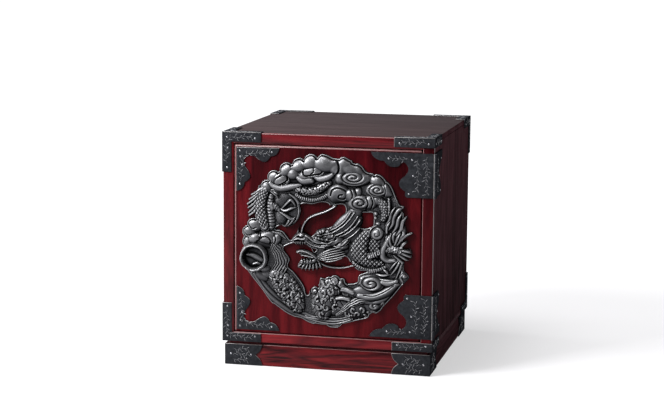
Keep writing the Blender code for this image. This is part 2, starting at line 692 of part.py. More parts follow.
def drawing_box(lobes):
    """Left, right, bottom and top of a piece on the drawing."""
    return (min(lobe[0] - lobe[2] for lobe in lobes), max(lobe[0] + lobe[2] for lobe in lobes),
            min(lobe[1] - lobe[3] for lobe in lobes), max(lobe[1] + lobe[3] for lobe in lobes))


def meet(one, other):
    return one[0] < other[1] and other[0] < one[1] and one[2] < other[3] and other[2] < one[3]


def lay_over(box, cutter):
    """Note a piece that lies over the later ones, as the grown copy that cuts them."""
    LAID.append((box, cutter))


def relief(name, lobes):
    """One beaten piece of the ring, cut clear of the pieces that already lie over it, with a flat back."""
    piece = add_piece(name, lobe_mesh(name, lobes, 0.0), BEATEN_IRON)
    melt(piece)
    box = drawing_box(lobes)
    for laid_box, laid in LAID:
        if meet(box, laid_box):
            apply_boolean(piece, laid, "DIFFERENCE")
    apply_boolean(piece, PLATE_SIDE, "DIFFERENCE")
    hang_on_door(piece)
    grown = add_cutter(name + "_grown", lobe_mesh(name + "_grown", lobes, RELIEF_GAP))
    melt(grown)
    lay_over(box, grown)


def make_plate_side():
    """Everything behind the face of the ring plate, to cut the figures flat."""
    return add_cutter("plate_side", box_mesh("plate_side", (X_LEFT, Y_FRONT - RING_SEAT, Z_BOTTOM),
                                             (X_RIGHT, Y_FRONT + 2 * RELIEF_HEIGHT, Z_TOP)))


LAID = []
PLATE_SIDE = make_plate_side()


def build_clouds():
    relief("cloud_left", [
        (-137, 8, 8, 9, 0.50), (-132, 18, 11, 12, 0.60), (-127, 11, 14, 11, 0.70), (-110, 9, 18, 13, 0.82),
        (-94, 8, 16, 12, 0.80), (-104, -2, 24, 14, 0.84), (-84, 2, 16, 10, 0.66), (-72, -1, 11, 6, 0.50)])
    relief("cloud_upper_left", [
        (-107, 92, 9, 9, 0.50), (-96, 105, 12, 10, 0.64), (-82, 117, 12, 10, 0.72), (-66, 121, 12, 10, 0.74),
        (-52, 128, 13, 11, 0.80), (-32, 134, 16, 11, 0.86), (-10, 135, 19, 11, 0.90), (6, 126, 16, 14, 0.92),
        (-78, 100, 24, 17, 0.88), (-28, 114, 30, 19, 1.00), (-55, 110, 18, 16, 0.88), (-62, 90, 22, 8, 0.66),
        (-92, 88, 16, 9, 0.66)])
    relief("cloud_upper_middle", [
        (26, 130, 14, 11, 0.80), (39, 128, 13, 11, 0.78), (52, 121, 12, 11, 0.76), (62, 111, 12, 11, 0.72),
        (40, 109, 27, 17, 0.96), (62, 104, 14, 11, 0.80)])
    relief("cloud_right", [
        (86, 104, 14, 10, 0.76), (80, 91, 18, 14, 0.92), (99, 92, 12, 12, 0.76), (107, 82, 8, 10, 0.50)])
    relief("cloud_round", [(14, 81, 18, 15, 0.96), (30, 80, 16, 13, 0.80), (43, 84, 10, 9, 0.60)])
    relief("cloud_small", [(52, 65, 21, 13, 0.90), (68, 68, 19, 12, 0.80), (83, 71, 9, 9, 0.60)])
    relief("cloud_lower_right", [
        (78, -66, 24, 16, 0.92), (102, -80, 20, 15, 0.80), (62, -84, 18, 14, 0.70), (88, -97, 18, 13, 0.74),
        (62, -106, 22, 14, 0.74), (44, -121, 20, 11, 0.60), (68, -117, 14, 8, 0.54), (82, -84, 14, 12, 0.60)])


def build_dragon():
    back = rib([(-103, 80, 14), (-106, 60, 17), (-106, 40, 17), (-104, 24, 16)], 0.80)
    fins = [rib(fin, 0.40) for fin in (
        [(-116, 72, 6), (-127, 78, 3)], [(-120, 62, 6), (-133, 65, 3)],
        [(-120, 50, 6), (-134, 50, 3)], [(-118, 38, 6), (-131, 37, 3)])]
    relief("dragon_body_left", sum(fins, back))

    paw = [(-76, 60, 18, 18, 0.60), (-66, 49, 19, 23, 0.36), (-84, 44, 12, 22, 0.40)]
    toes = [rib(toe, 0.60) for toe in (
        [(-72, 66, 6), (-60, 70, 5), (-50, 63, 3)], [(-68, 56, 6), (-56, 56, 5), (-48, 48, 3)],
        [(-72, 46, 6), (-62, 38, 5), (-66, 26, 3)])]
    relief("dragon_claw_left", sum(toes, paw))

    relief("dragon_coil", rib([(62, 14, 11), (51, 2, 14), (49, -14, 15), (57, -28, 14), (76, -33, 13),
                               (94, -26, 12), (104, -16, 10)], 0.92))
    relief("dragon_pearl", [(84, 17, 12, 12, 0.90)])

    skull = [(18, 2, 20, 17, 1.00), (-4, 13, 12, 8, 0.95), (-22, 2, 22, 9, 0.88), (-46, 8, 10, 8, 0.80),
             (-52, 0, 7, 5, 0.60), (4, -16, 20, 11, 0.70), (-4, -6, 10, 8, 0.70), (36, 24, 16, 20, 0.62),
             (46, 44, 11, 8, 0.50)]
    horns = (rib([(4, 16, 6), (18, 28, 6), (34, 42, 6), (44, 52, 4)], 0.72)
             + rib([(14, 14, 6), (34, 34, 6), (52, 48, 4)], 0.72))
    mane = rib([(14, -18, 6), (26, -22, 5), (36, -21, 3)], 0.56)
    jaw = rib([(0, -22, 7), (-16, -25, 6), (-34, -22, 4), (-46, -19, 3)], 0.60)
    beard = (rib([(-12, -28, 6), (-26, -37, 6), (-44, -42, 3)], 0.50)
             + rib([(-14, -38, 6), (-30, -43, 4)], 0.40))
    whiskers = (rib([(-46, 14, 2.6), (-42, 26, 2.6), (-26, 40, 2.6), (-6, 49, 2.6), (8, 57, 2.6),
                     (12, 66, 2.6)], 0.40)
                + rib([(-14, -34, 2.6), (2, -41, 2.6), (22, -43, 2.6), (42, -37, 2.6)], 0.40))
    relief("dragon_head", skull + horns + mane + jaw + beard + whiskers)

    leg = [(94, 62, 15, 15, 0.60), (112, 64, 9, 16, 0.46), (108, 38, 18, 20, 0.50), (116, 8, 16, 20, 0.50),
           (122, -14, 14, 12, 0.50), (98, 2, 14, 12, 0.44)]
    leg += rib([(96, 64, 9), (103, 50, 8), (102, 36, 8), (108, 24, 8)], 0.64)
    flames = [rib(flame, 0.58) for flame in (
        [(104, 36, 8), (118, 52, 6), (128, 61, 3)], [(108, 24, 8), (120, 36, 6), (133, 45, 3)],
        [(112, 10, 8), (126, 15, 6), (142, 19, 3)], [(114, -12, 8), (128, -16, 6), (139, -18, 3)])]
    relief("dragon_flames", sum(flames, leg))

    relief("dragon_claw_right", [(100, -46, 26, 12, 0.46), (116, -40, 13, 14, 0.50)]
           + rib([(104, -40, 8), (118, -50, 7), (134, -55, 3)], 0.60)
           + rib([(100, -50, 7), (114, -58, 6), (128, -65, 3)], 0.54))
    arch = [(-46, 79, 10), (-36, 75, 11), (-22, 75, 12), (-8, 80, 12), (2, 89, 9)]
    relief("dragon_body_arch", rib(arch, 0.72))


def build_waves():
    relief("water_fall", [
        (-82, -18, 14, 14, 0.56), (-76, -34, 13, 16, 0.56), (-84, -50, 14, 12, 0.50),
        (-98, -60, 14, 8, 0.46)])
    outer_wave = rib([(-118, -68, 11), (-104, -88, 13), (-88, -104, 13), (-66, -119, 12), (-42, -128, 11),
                      (-20, -134, 8)], 0.54)
    relief("wave_lower_left", outer_wave + [
        (-84, -66, 16, 14, 0.70), (-70, -80, 22, 20, 0.84), (-56, -98, 18, 18, 0.80),
        (-90, -86, 16, 16, 0.64), (-48, -114, 16, 14, 0.66)])
    relief("wave_crest", [
        (10, -68, 18, 13, 0.80), (0, -90, 26, 20, 0.92), (-12, -112, 22, 17, 0.80), (14, -108, 24, 18, 0.80),
        (35, -80, 13, 9, 0.66), (34, -93, 13, 8, 0.56), (-12, -132, 22, 9, 0.50), (18, -133, 24, 10, 0.50)])


def build_pull_cup():
    rim = (CUP_RADIUS - CUP_HOLLOW_RADIUS) / 2
    rim_level = CUP_HEIGHT - rim
    rim_middle = CUP_HOLLOW_RADIUS + rim
    profile = [(0.0, CUP_FLOOR), (CUP_HOLLOW_RADIUS * 0.80, CUP_FLOOR),
               (CUP_HOLLOW_RADIUS, CUP_FLOOR + rim)]
    for step in range(7):
        angle = math.pi * (1 - step / 6)
        profile.append((rim_middle + rim * math.cos(angle), rim_level + rim * math.sin(angle)))
    profile += [(CUP_RADIUS * 0.94, CUP_HEIGHT * 0.35), (CUP_RADIUS, 0.0), (0.0, 0.0)]

    mesh = bpy.data.meshes.new("pull_cup")
    shape = bmesh.new()
    points = [shape.verts.new((radius, 0.0, level)) for radius, level in profile]
    for start, end in zip(points, points[1:]):
        shape.edges.new((start, end))
    shape.to_mesh(mesh)
    shape.free()
    cup = add_piece("pull_cup", mesh, BEATEN_IRON)
    turn = cup.modifiers.new("turned", "SCREW")
    turn.steps = 24
    turn.render_steps = 24
    turn.use_merge_vertices = True
    turn.merge_threshold = 0.00001
    cup.matrix_world = Matrix.Translation((RING_X + CUP_PLACE[0] * DRAWING_SCALE, Y_FRONT - RING_SEAT,
                                           RING_Z + CUP_PLACE[1] * DRAWING_SCALE)) @ ON_FRONT
    bpy.context.view_layer.update()
    hang_on_door(cup)

    clear = cylinder_mesh("pull_cup_clear", (0.0, 0.0, 0.0), CUP_RADIUS + RELIEF_GAP, 4 * CUP_HEIGHT)
    clear.transform(cup.matrix_world)
    reach = CUP_RADIUS / DRAWING_SCALE
    lay_over((CUP_PLACE[0] - reach, CUP_PLACE[0] + reach, CUP_PLACE[1] - reach, CUP_PLACE[1] + reach),
             add_cutter("pull_cup_clear", clear))


build_ring_plate()
build_door()
build_plinth_irons()
build_hinges()
build_corner_irons()
build_case()
build_inside()
build_plinth()
build_pull_cup()
build_clouds()
build_dragon()
build_waves()
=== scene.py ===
"""Looks of the small tansu chest: lacquered boards, engraved irons, nails and the beaten dragon ring.

Metres, +Z up, the front towards -Y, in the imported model's own frame.
The ring is drawn in millimetres from its middle, u across and v up.
"""

import math

import bmesh
import bpy
import numpy as np
from mathutils import Matrix, Quaternion, Vector


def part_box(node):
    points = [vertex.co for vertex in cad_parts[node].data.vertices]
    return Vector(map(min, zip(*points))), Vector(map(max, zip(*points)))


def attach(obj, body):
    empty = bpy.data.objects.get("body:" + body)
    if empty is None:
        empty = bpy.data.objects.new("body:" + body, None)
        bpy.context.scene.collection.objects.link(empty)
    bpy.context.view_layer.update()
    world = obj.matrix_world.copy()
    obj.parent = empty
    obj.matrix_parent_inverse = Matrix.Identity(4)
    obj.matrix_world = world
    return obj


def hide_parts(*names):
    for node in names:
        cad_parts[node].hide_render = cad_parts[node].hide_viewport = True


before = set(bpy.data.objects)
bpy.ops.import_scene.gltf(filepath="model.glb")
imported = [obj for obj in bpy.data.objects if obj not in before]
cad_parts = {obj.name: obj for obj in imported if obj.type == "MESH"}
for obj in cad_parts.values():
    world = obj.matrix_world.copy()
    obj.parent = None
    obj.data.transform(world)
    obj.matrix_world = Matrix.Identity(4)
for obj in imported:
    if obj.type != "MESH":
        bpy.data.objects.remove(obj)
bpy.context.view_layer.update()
bpy.ops.object.select_all(action="DESELECT")

MM = 0.001
DOOR_LOW, DOOR_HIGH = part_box("door_panel")
IRON_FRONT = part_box("door_iron_upper_left")[0][1]
RIGHT_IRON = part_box("corner_iron_front_top_right")[1][0]
CASE_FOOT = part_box("corner_iron_front_bottom_left")[0][2]

# The nails' heads stand this far out of the irons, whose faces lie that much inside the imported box
HEAD_ROOM = 0.0005
LEFT_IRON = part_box("corner_iron_front_top_left")[0][0] + HEAD_ROOM
BACK_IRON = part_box("corner_iron_back_top_left")[1][1] - HEAD_ROOM
TOP_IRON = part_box("corner_iron_front_top_left")[1][2] - HEAD_ROOM

RING_ABOVE_MIDDLE = 0.0026
RING_X = (DOOR_LOW[0] + DOOR_HIGH[0]) / 2
RING_Z = (DOOR_LOW[2] + DOOR_HIGH[2]) / 2 + RING_ABOVE_MIDDLE
PLATE_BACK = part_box("ring_plate")[1][1]
PLATE_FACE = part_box("ring_plate")[0][1]
FIGURE_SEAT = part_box("dragon_coil")[1][1]
FIGURE_FOOT = PLATE_FACE + 0.0010
CUP_SEAT = FIGURE_SEAT + 0.0002
CUP_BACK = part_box("pull_cup")[1][1]
CUP_RISE = (CUP_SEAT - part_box("pull_cup")[0][1]) / MM


# Finishes

EVEN = (1.0, 1.0, 1.0)
UPRIGHT = (1.0, 1.0, 0.10)
LEVEL = (0.10, 1.0, 1.0)
DEEP = (1.0, 0.10, 1.0)


def add_node(tree, kind, inputs, **settings):
    """A shader node, with each input set to a value or joined to another node."""
    node = tree.nodes.new("ShaderNode" + kind)
    for name, value in settings.items():
        setattr(node, name, value)
    for name, value in inputs.items():
        if isinstance(value, bpy.types.NodeSocket):
            tree.links.new(value, node.inputs[name])
        else:
            node.inputs[name].default_value = value
    return node


def new_finish(name, roughness, specular, metallic=0.0):
    """A material with its shader, ready for a pattern to be joined to it."""
    material = bpy.data.materials.new(name)
    material.use_nodes = True
    tree = material.node_tree
    shader = tree.nodes["Principled BSDF"]
    shader.inputs["Roughness"].default_value = roughness
    shader.inputs["Metallic"].default_value = metallic
    shader.inputs["Specular IOR Level"].default_value = specular
    return material, tree, shader


def place_pattern(tree, scale):
    """Object coordinates, stretched along the grain."""
    place = add_node(tree, "TexCoord", {})
    return add_node(tree, "Mapping", {"Vector": place.outputs["Object"], "Scale": scale}).outputs["Vector"]


def noise(tree, where, scale, detail, roughness, distortion=0.0):
    settings = {"Vector": where, "Scale": scale, "Detail": detail, "Roughness": roughness,
                "Distortion": distortion}
    return add_node(tree, "TexNoise", settings).outputs["Fac"]


def sums(tree, operation, *terms):
    return add_node(tree, "Math", dict(enumerate(terms)), operation=operation).outputs["Value"]


def spread(tree, value, low, high, start=0.0, end=1.0, **settings):
    """A value taken from the range start to end over to the range low to high."""
    return add_node(tree, "MapRange", {"Value": value, "From Min": start, "From Max": end, "To Min": low,
                                       "To Max": high}, **settings).outputs["Result"]


def ramp(tree, value, stops):
    node = add_node(tree, "ValToRGB", {"Fac": value})
    marks = node.color_ramp.elements
    marks.remove(marks[1])
    for index, (place, colour) in enumerate(stops):
        mark = marks.new(place) if index else marks[0]
        mark.position = place
        mark.color = (*colour, 1.0)
    return node.outputs["Color"]


def dent(tree, shader, height, strength, depth):
    node = add_node(tree, "Bump", {"Strength": strength, "Distance": depth, "Height": height})
    tree.links.new(node.outputs["Normal"], shader.inputs["Normal"])


def lacquered_wood(name, grain, stops, roughness, specular, figure=26.0, bands=6.0, painted_light_fade=0.0):
    """Stained wood under lacquer: loops of a plain-sawn figure, finer lines and short pores along the grain.

    With a painted light fade, the colour changes from the door's foot up to its head as painted light: a
    positive one lightens the foot and darkens the head, a negative one darkens the foot and lightens the
    head.
    """
    material, tree, shader = new_finish(name, roughness, specular)
    where = place_pattern(tree, grain)
    broad = noise(tree, where, figure, 2.0, 0.5, 0.8)
    loops = sums(tree, "PINGPONG", sums(tree, "MULTIPLY", broad, bands), 0.5)
    lines = noise(tree, where, 250.0, 4.0, 0.62, 0.5)
    pores = noise(tree, where, 1100.0, 2.0, 0.6)
    streaks = sums(tree, "MULTIPLY", loops, 0.36)
    for part, share in ((broad, 0.42), (lines, 0.28), (pores, 0.12)):
        streaks = sums(tree, "MULTIPLY_ADD", part, share, streaks)
    # Painted light: the colour is shifted with height, lighter or darker towards the foot.
    if painted_light_fade:
        height = add_node(tree, "SeparateXYZ", {"Vector": place_pattern(tree, EVEN)}).outputs["Z"]
        wear_and_painted_light = spread(tree, height, painted_light_fade, -painted_light_fade * 0.5, DOOR_LOW[2], DOOR_HIGH[2])
        streaks = sums(tree, "ADD", streaks, wear_and_painted_light)
    tree.links.new(ramp(tree, streaks, stops), shader.inputs["Base Color"])
    dent(tree, shader, pores, 0.10, 0.0002)
    return material


RED_STOPS = ((0.34, (0.030, 0.0016, 0.0026)), (0.44, (0.085, 0.0050, 0.0080)),
             (0.54, (0.135, 0.0078, 0.0115)), (0.66, (0.220, 0.0135, 0.0170)))
PLINTH_STOPS = ((0.36, (0.014, 0.0012, 0.0020)), (0.44, (0.060, 0.0040, 0.0060)),
                (0.54, (0.120, 0.0075, 0.0105)), (0.66, (0.210, 0.0150, 0.0170)))
DOOR_STOPS = ((0.34, (0.020, 0.0012, 0.0022)), (0.45, (0.040, 0.0022, 0.0040)),
              (0.56, (0.064, 0.0034, 0.0058)), (0.72, (0.125, 0.0075, 0.0105)))
DARK_STOPS = ((0.26, (0.018, 0.0056, 0.0070)), (0.48, (0.062, 0.0225, 0.0275)),
              (0.70, (0.104, 0.0400, 0.0475)))
# The top is given a greyer colour than the same dark lacquer on the sides: painted sheen of the lit top.
TOP_SHEEN_STOPS = ((0.36, (0.040, 0.0270, 0.0280)), (0.64, (0.062, 0.0430, 0.0440)))
PALE_STOPS = ((0.36, (0.30, 0.18, 0.09)), (0.50, (0.42, 0.28, 0.15)), (0.64, (0.52, 0.37, 0.22)))

# The door is painted lighter towards its foot: painted light.
door_red = lacquered_wood("door_lacquer", UPRIGHT, DOOR_STOPS, 0.30, 0.05, figure=18.0, bands=4.0, painted_light_fade=0.13)
red_upright = lacquered_wood("red_lacquer_upright", UPRIGHT, RED_STOPS, 0.30, 0.14)
red_level = lacquered_wood("red_lacquer_level", LEVEL, RED_STOPS, 0.30, 0.14)
plinth_red = lacquered_wood("red_lacquer_plinth", LEVEL, PLINTH_STOPS, 0.32, 0.14, figure=34.0, bands=7.0)
# The side boards are painted darker towards their foot: painted shade.
dark_upright = lacquered_wood("dark_lacquer_upright", UPRIGHT, DARK_STOPS, 0.60, 0.001, painted_light_fade=-0.12)
dark_level = lacquered_wood("dark_lacquer_level", LEVEL, DARK_STOPS, 0.55, 0.004)
dark_deep = lacquered_wood("dark_lacquer_deep", DEEP, DARK_STOPS, 0.60, 0.001)
top_lacquer_and_painted_sheen = lacquered_wood("top_lacquer_and_painted_sheen", LEVEL, TOP_SHEEN_STOPS, 0.50, 0.12)
pale_level = lacquered_wood("pale_wood_level", LEVEL, PALE_STOPS, 0.55, 0.3)
pale_deep = lacquered_wood("pale_wood_deep", DEEP, PALE_STOPS, 0.55, 0.3)


def mottled_metal(name, dark, light, roughness, metallic, size, dent_depth, specular=0.5):
    """Sheet metal with a clouded colour and the faint unevenness of hand work."""
    material, tree, shader = new_finish(name, roughness, specular, metallic)
    where = place_pattern(tree, EVEN)
    cloud = noise(tree, where, size, 5.0, 0.6, 0.3)
    tree.links.new(ramp(tree, cloud, ((0.35, dark), (0.65, light))), shader.inputs["Base Color"])
    tree.links.new(spread(tree, cloud, roughness - 0.08, roughness + 0.10), shader.inputs["Roughness"])
    dent(tree, shader, noise(tree, where, size * 2.2, 3.0, 0.5), 0.35, dent_depth)
    return material


black_iron = mottled_metal("black_iron", (0.019, 0.020, 0.023), (0.034, 0.036, 0.041), 0.40, 0.0, 160.0,
                           0.0004, specular=0.0)
# Pale finishes for eased edges: painted highlights on the bevels that face the lamps.
iron_edge_highlight = mottled_metal("iron_edge_highlight", (0.15, 0.145, 0.145), (0.24, 0.23, 0.23), 0.34, 0.5, 300.0,
                            0.0002)
lacquer_edge_highlight = mottled_metal("lacquer_edge_highlight", (0.20, 0.09, 0.09), (0.30, 0.15, 0.15), 0.30, 0.0, 240.0,
                               0.0002)
engraved_line = mottled_metal("engraved_line", (0.20, 0.20, 0.215), (0.33, 0.33, 0.345), 0.42, 0.4, 300.0,
                              0.0002)
nail_iron = mottled_metal("nail_iron", (0.24, 0.24, 0.26), (0.36, 0.36, 0.38), 0.26, 0.9, 400.0, 0.0002)
pin_steel = mottled_metal("pin_steel", (0.36, 0.36, 0.38), (0.46, 0.46, 0.48), 0.30, 1.0, 220.0, 0.0001)
catch_black = mottled_metal("catch_black", (0.012, 0.012, 0.013), (0.022, 0.022, 0.024), 0.55, 0.0, 500.0,
                            0.0002)

BEATEN_STOPS = ((0.14, (0.0025, 0.0026, 0.0030)), (0.36, (0.016, 0.0163, 0.018)),
                (0.54, (0.070, 0.0705, 0.075)), (0.72, (0.195, 0.196, 0.204)), (0.92, (0.300, 0.302, 0.312)))


def beaten_iron_finish():
    """Gunmetal rubbed bright on its ridges and left dark in its hollows, with painted shade on its
    undersides and right-facing slopes, as a mesh attribute tells.
    """
    material, tree, shader = new_finish("beaten_iron", 0.36, 0.0)
    ridge = add_node(tree, "Attribute", {}, attribute_name="ridge").outputs["Fac"]
    spots = noise(tree, place_pattern(tree, EVEN), 420.0, 4.0, 0.6)
    wear_and_painted_light = sums(tree, "SUBTRACT", sums(tree, "MULTIPLY_ADD", spots, 0.16, ridge), 0.08)
    tree.links.new(ramp(tree, wear_and_painted_light, BEATEN_STOPS), shader.inputs["Base Color"])
    tree.links.new(spread(tree, wear_and_painted_light, 0.50, 0.36), shader.inputs["Roughness"])
    tree.links.new(spread(tree, wear_and_painted_light, 0.0, 0.9, 0.16, 0.44), shader.inputs["Metallic"])
    dent(tree, shader, spots, 0.22, 0.0004)
    return material


beaten_iron = beaten_iron_finish()

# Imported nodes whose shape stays, with a finish in place of their plain one
for finish, nodes in ((dark_upright, ("left_side_board", "right_side_board")),
                      (dark_level, ("back_panel", "plinth_back", "bottom_board")),
                      (dark_deep, ("plinth_left", "plinth_right")), (pale_level, ("shelf",)),
                      (pale_deep, ("shelf_runner_left", "shelf_runner_right")),
                      (catch_black, ("magnet_catch",)),
                      (pin_steel, ("strike_plate", "hinge_upper_pin", "hinge_lower_pin"))):
    for node in nodes:
        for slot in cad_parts[node].material_slots:
            slot.material = finish


# Irons and boards: the imported shapes with eased edges, painted pale as a highlight where they face the
# lamps

EASE = 0.0007
TOP_EASE = 0.0010
MERGE_WITHIN = 0.00002


def make_active(piece):
    bpy.ops.object.select_all(action="DESELECT")
    piece.select_set(True)
    bpy.context.view_layer.objects.active = piece


def eased_copy(node, ease, material, edge_material, body):
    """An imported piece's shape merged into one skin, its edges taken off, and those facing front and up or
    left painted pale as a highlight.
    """
    piece = bpy.data.objects.new(node + "_dressed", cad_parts[node].data.copy())
    bpy.context.scene.collection.objects.link(piece)
    piece.data.materials.clear()
    piece.data.materials.append(material)
    piece.data.materials.append(edge_material)
    make_active(piece)
    bpy.ops.object.mode_set(mode="EDIT")
    bpy.ops.mesh.select_all(action="SELECT")
    bpy.ops.mesh.remove_doubles(threshold=MERGE_WITHIN)
    bpy.ops.mesh.dissolve_limited(angle_limit=math.radians(1.0))
    bpy.ops.object.mode_set(mode="OBJECT")
    for corner in piece.data.vertices:
        corner.co = (max(corner.co.x, LEFT_IRON), min(corner.co.y, BACK_IRON), min(corner.co.z, TOP_IRON))
    edge = piece.modifiers.new("eased_edge", "BEVEL")
    edge.width = ease
    edge.segments = 2
    edge.limit_method = "ANGLE"
    edge.angle_limit = math.radians(50)
    edge.use_clamp_overlap = True
    bpy.ops.object.modifier_apply(modifier=edge.name)
    for face in piece.data.polygons:
        # Bevels that face front and up or left take the pale edge finish: a painted highlight where the
        # lamps catch them.
        slanted = face.normal.y < -0.2 and max(abs(share) for share in face.normal) < 0.97
        face.material_index = int(slanted and (face.normal.z > 0.2 or face.normal.x < -0.2))
    bpy.ops.object.shade_smooth_by_angle(angle=math.radians(35))
    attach(piece, body)
    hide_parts(node)
    return piece


CORNERS = ["%s_%s_%s" % (depth, level, side) for depth in ("front", "back")
           for level in ("top", "bottom") for side in ("left", "right")]
CASE_IRONS = (["corner_iron_" + corner for corner in CORNERS]
              + ["plinth_iron_%s_%s" % (depth, side) for depth in ("front", "back")
                 for side in ("left", "right")]
              + ["hinge_upper_case_leaf", "hinge_lower_case_leaf"])
DOOR_IRONS = ["door_iron_upper_left", "door_iron_lower_left", "hinge_upper_door_leaf",
              "hinge_lower_door_leaf"]
BODY_OF = {**{name: "case" for name in CASE_IRONS}, **{name: "door" for name in DOOR_IRONS}}
for iron in CASE_IRONS + DOOR_IRONS:
    eased_copy(iron, EASE, black_iron, iron_edge_highlight, BODY_OF[iron])
# The right stile takes the darker door lacquer, not the left stile's red: painted shade on the side away
# from the lamps.
for board, finish, body in (("door_panel", door_red, "door"), ("front_left_stile", red_upright, "case"),
                            ("front_right_stile", door_red, "case"), ("front_top_rail", red_level, "case"),
                            ("front_bottom_rail", red_level, "case"), ("plinth_front", plinth_red, "case")):
    eased_copy(board, EASE, finish, lacquer_edge_highlight, body)
# The top face takes the greyer top lacquer as painted sheen, and its edges keep the sides' dark lacquer.
top = eased_copy("top_board", TOP_EASE, top_lacquer_and_painted_sheen, dark_upright, "case")
for face in top.data.polygons:
    face.material_index = int(max(abs(face.normal.x), abs(face.normal.y)) > 0.6)


# Nails and engraving, laid out on each face of an iron in millimetres along its two edges

NAIL_RADIUS = 0.0017
NAIL_FLATNESS = 0.55
NAIL_SINK = 0.00045
LINE_RADIUS = 0.0008
LINE_SINK = 0.6
STEM_THICKNESS = 0.40
LEAF_LENGTH = 6.6
LEAF_GAP = 2.6
LEAF_ANGLE = math.radians(48)
LEAF_FORM = ((0.12, 0.35), (0.50, 1.0), (0.80, 0.85), (1.0, 0.30))
KNUCKLE_RADIUS = 0.0031

ANGLE_NAILS = [(9, 9), (57, 10), (10, 27), (9, 60)]
ANGLE_VINE = [[(9, 53), (7, 44), (9, 34), (7, 24), (11, 14), (20, 8), (30, 10), (40, 7), (51, 9)]]
STRIP_NAILS = [(11, 10), (59, 10)]
STRIP_VINE = [[(15, 9), (24, 7), (34, 10), (44, 7), (55, 9)]]
PLINTH_NAILS = [(11, 19), (46, 19)]
PLINTH_VINES = [[(15, 18), (24, 21), (33, 17), (42, 19)], [(14, 11), (22, 8), (31, 10), (40, 8)],
                [(16, 28), (25, 26), (34, 29), (42, 27)]]
DOOR_IRON_NAILS = [(6, 6), (7, 16), (10, 29), (61, 7), (6, 62)]
DOOR_IRON_VINE = [[(7, 57), (9, 48), (7, 38), (11, 26), (12, 18), (19, 11), (30, 10), (40, 8), (49, 10),
                   (57, 8)]]
HINGE_NAILS = [(78, 10), (39, 11), (37, 37), (44, 67)]
HINGE_VINES = [[(14, 5), (17, 18), (13, 32), (17, 46), (13, 58), (16, 68)],
               [(29, 8), (31, 20), (28, 32), (31, 44), (29, 54), (33, 63)],
               [(46, 9), (55, 11), (64, 9), (73, 10)]]
SIDE_LEAF_NAILS = [(62, 13), (44, 40), (56, 66)]
SIDE_LEAF_VINES = [[(14, 6), (16, 18), (13, 30), (16, 42), (13, 54), (16, 66)],
                   [(30, 8), (33, 20), (29, 32), (32, 44), (30, 56), (34, 66)]]


def through(points, steps=6):
    """Points of a smooth line through the given ones."""
    padded = [points[0], *points, points[-1]]
    line = []
    for before, start, end, after in zip(padded, padded[1:], padded[2:], padded[3:]):
        for step in range(steps):
            t = step / steps
            line.append(tuple(0.5 * (2 * b + (c - a) * t + (2 * a - 5 * b + 4 * c - d) * t * t
                                     + (3 * b - a - 3 * c + d) * t ** 3)
                              for a, b, c, d in zip(before, start, end, after)))
    line.append(points[-1])
    return line


def vine_lines(stem):
    """A stem with slender leaves set on it by turns, as lines of (across, up, thickness)."""
    smooth = through(stem, 5)
    lines = [[(across, up, STEM_THICKNESS) for across, up in smooth]]
    run = 0.0
    side = 1
    for (a0, b0), (a1, b1) in zip(smooth, smooth[1:]):
        run += math.hypot(a1 - a0, b1 - b0)
        if run < LEAF_GAP:
            continue
        run = 0.0
        side = -side
        heading = math.atan2(b1 - b0, a1 - a0) + side * LEAF_ANGLE
        lines.append([(a1 + LEAF_LENGTH * share * math.cos(heading),
                       b1 + LEAF_LENGTH * share * math.sin(heading), thickness)
                      for share, thickness in LEAF_FORM])
    return lines


def nail_mesh():
    """A low domed nail head: a ball cut through, flattened and closed."""
    bpy.ops.object.select_all(action="DESELECT")
    bpy.ops.mesh.primitive_uv_sphere_add(segments=14, ring_count=10, radius=NAIL_RADIUS)
    ball = bpy.context.object
    bpy.ops.object.mode_set(mode="EDIT")
    bpy.ops.mesh.select_all(action="SELECT")
    bpy.ops.mesh.bisect(plane_co=(0, 0, 0), plane_no=(0, 0, 1), use_fill=True, clear_inner=True)
    bpy.ops.mesh.select_all(action="SELECT")
    bpy.ops.transform.resize(value=(1.0, 1.0, NAIL_FLATNESS), center_override=(0.0, 0.0, 0.0))
    bpy.ops.object.mode_set(mode="OBJECT")
    mesh = ball.data
    bpy.data.objects.remove(ball)
    return mesh


NAIL = nail_mesh()


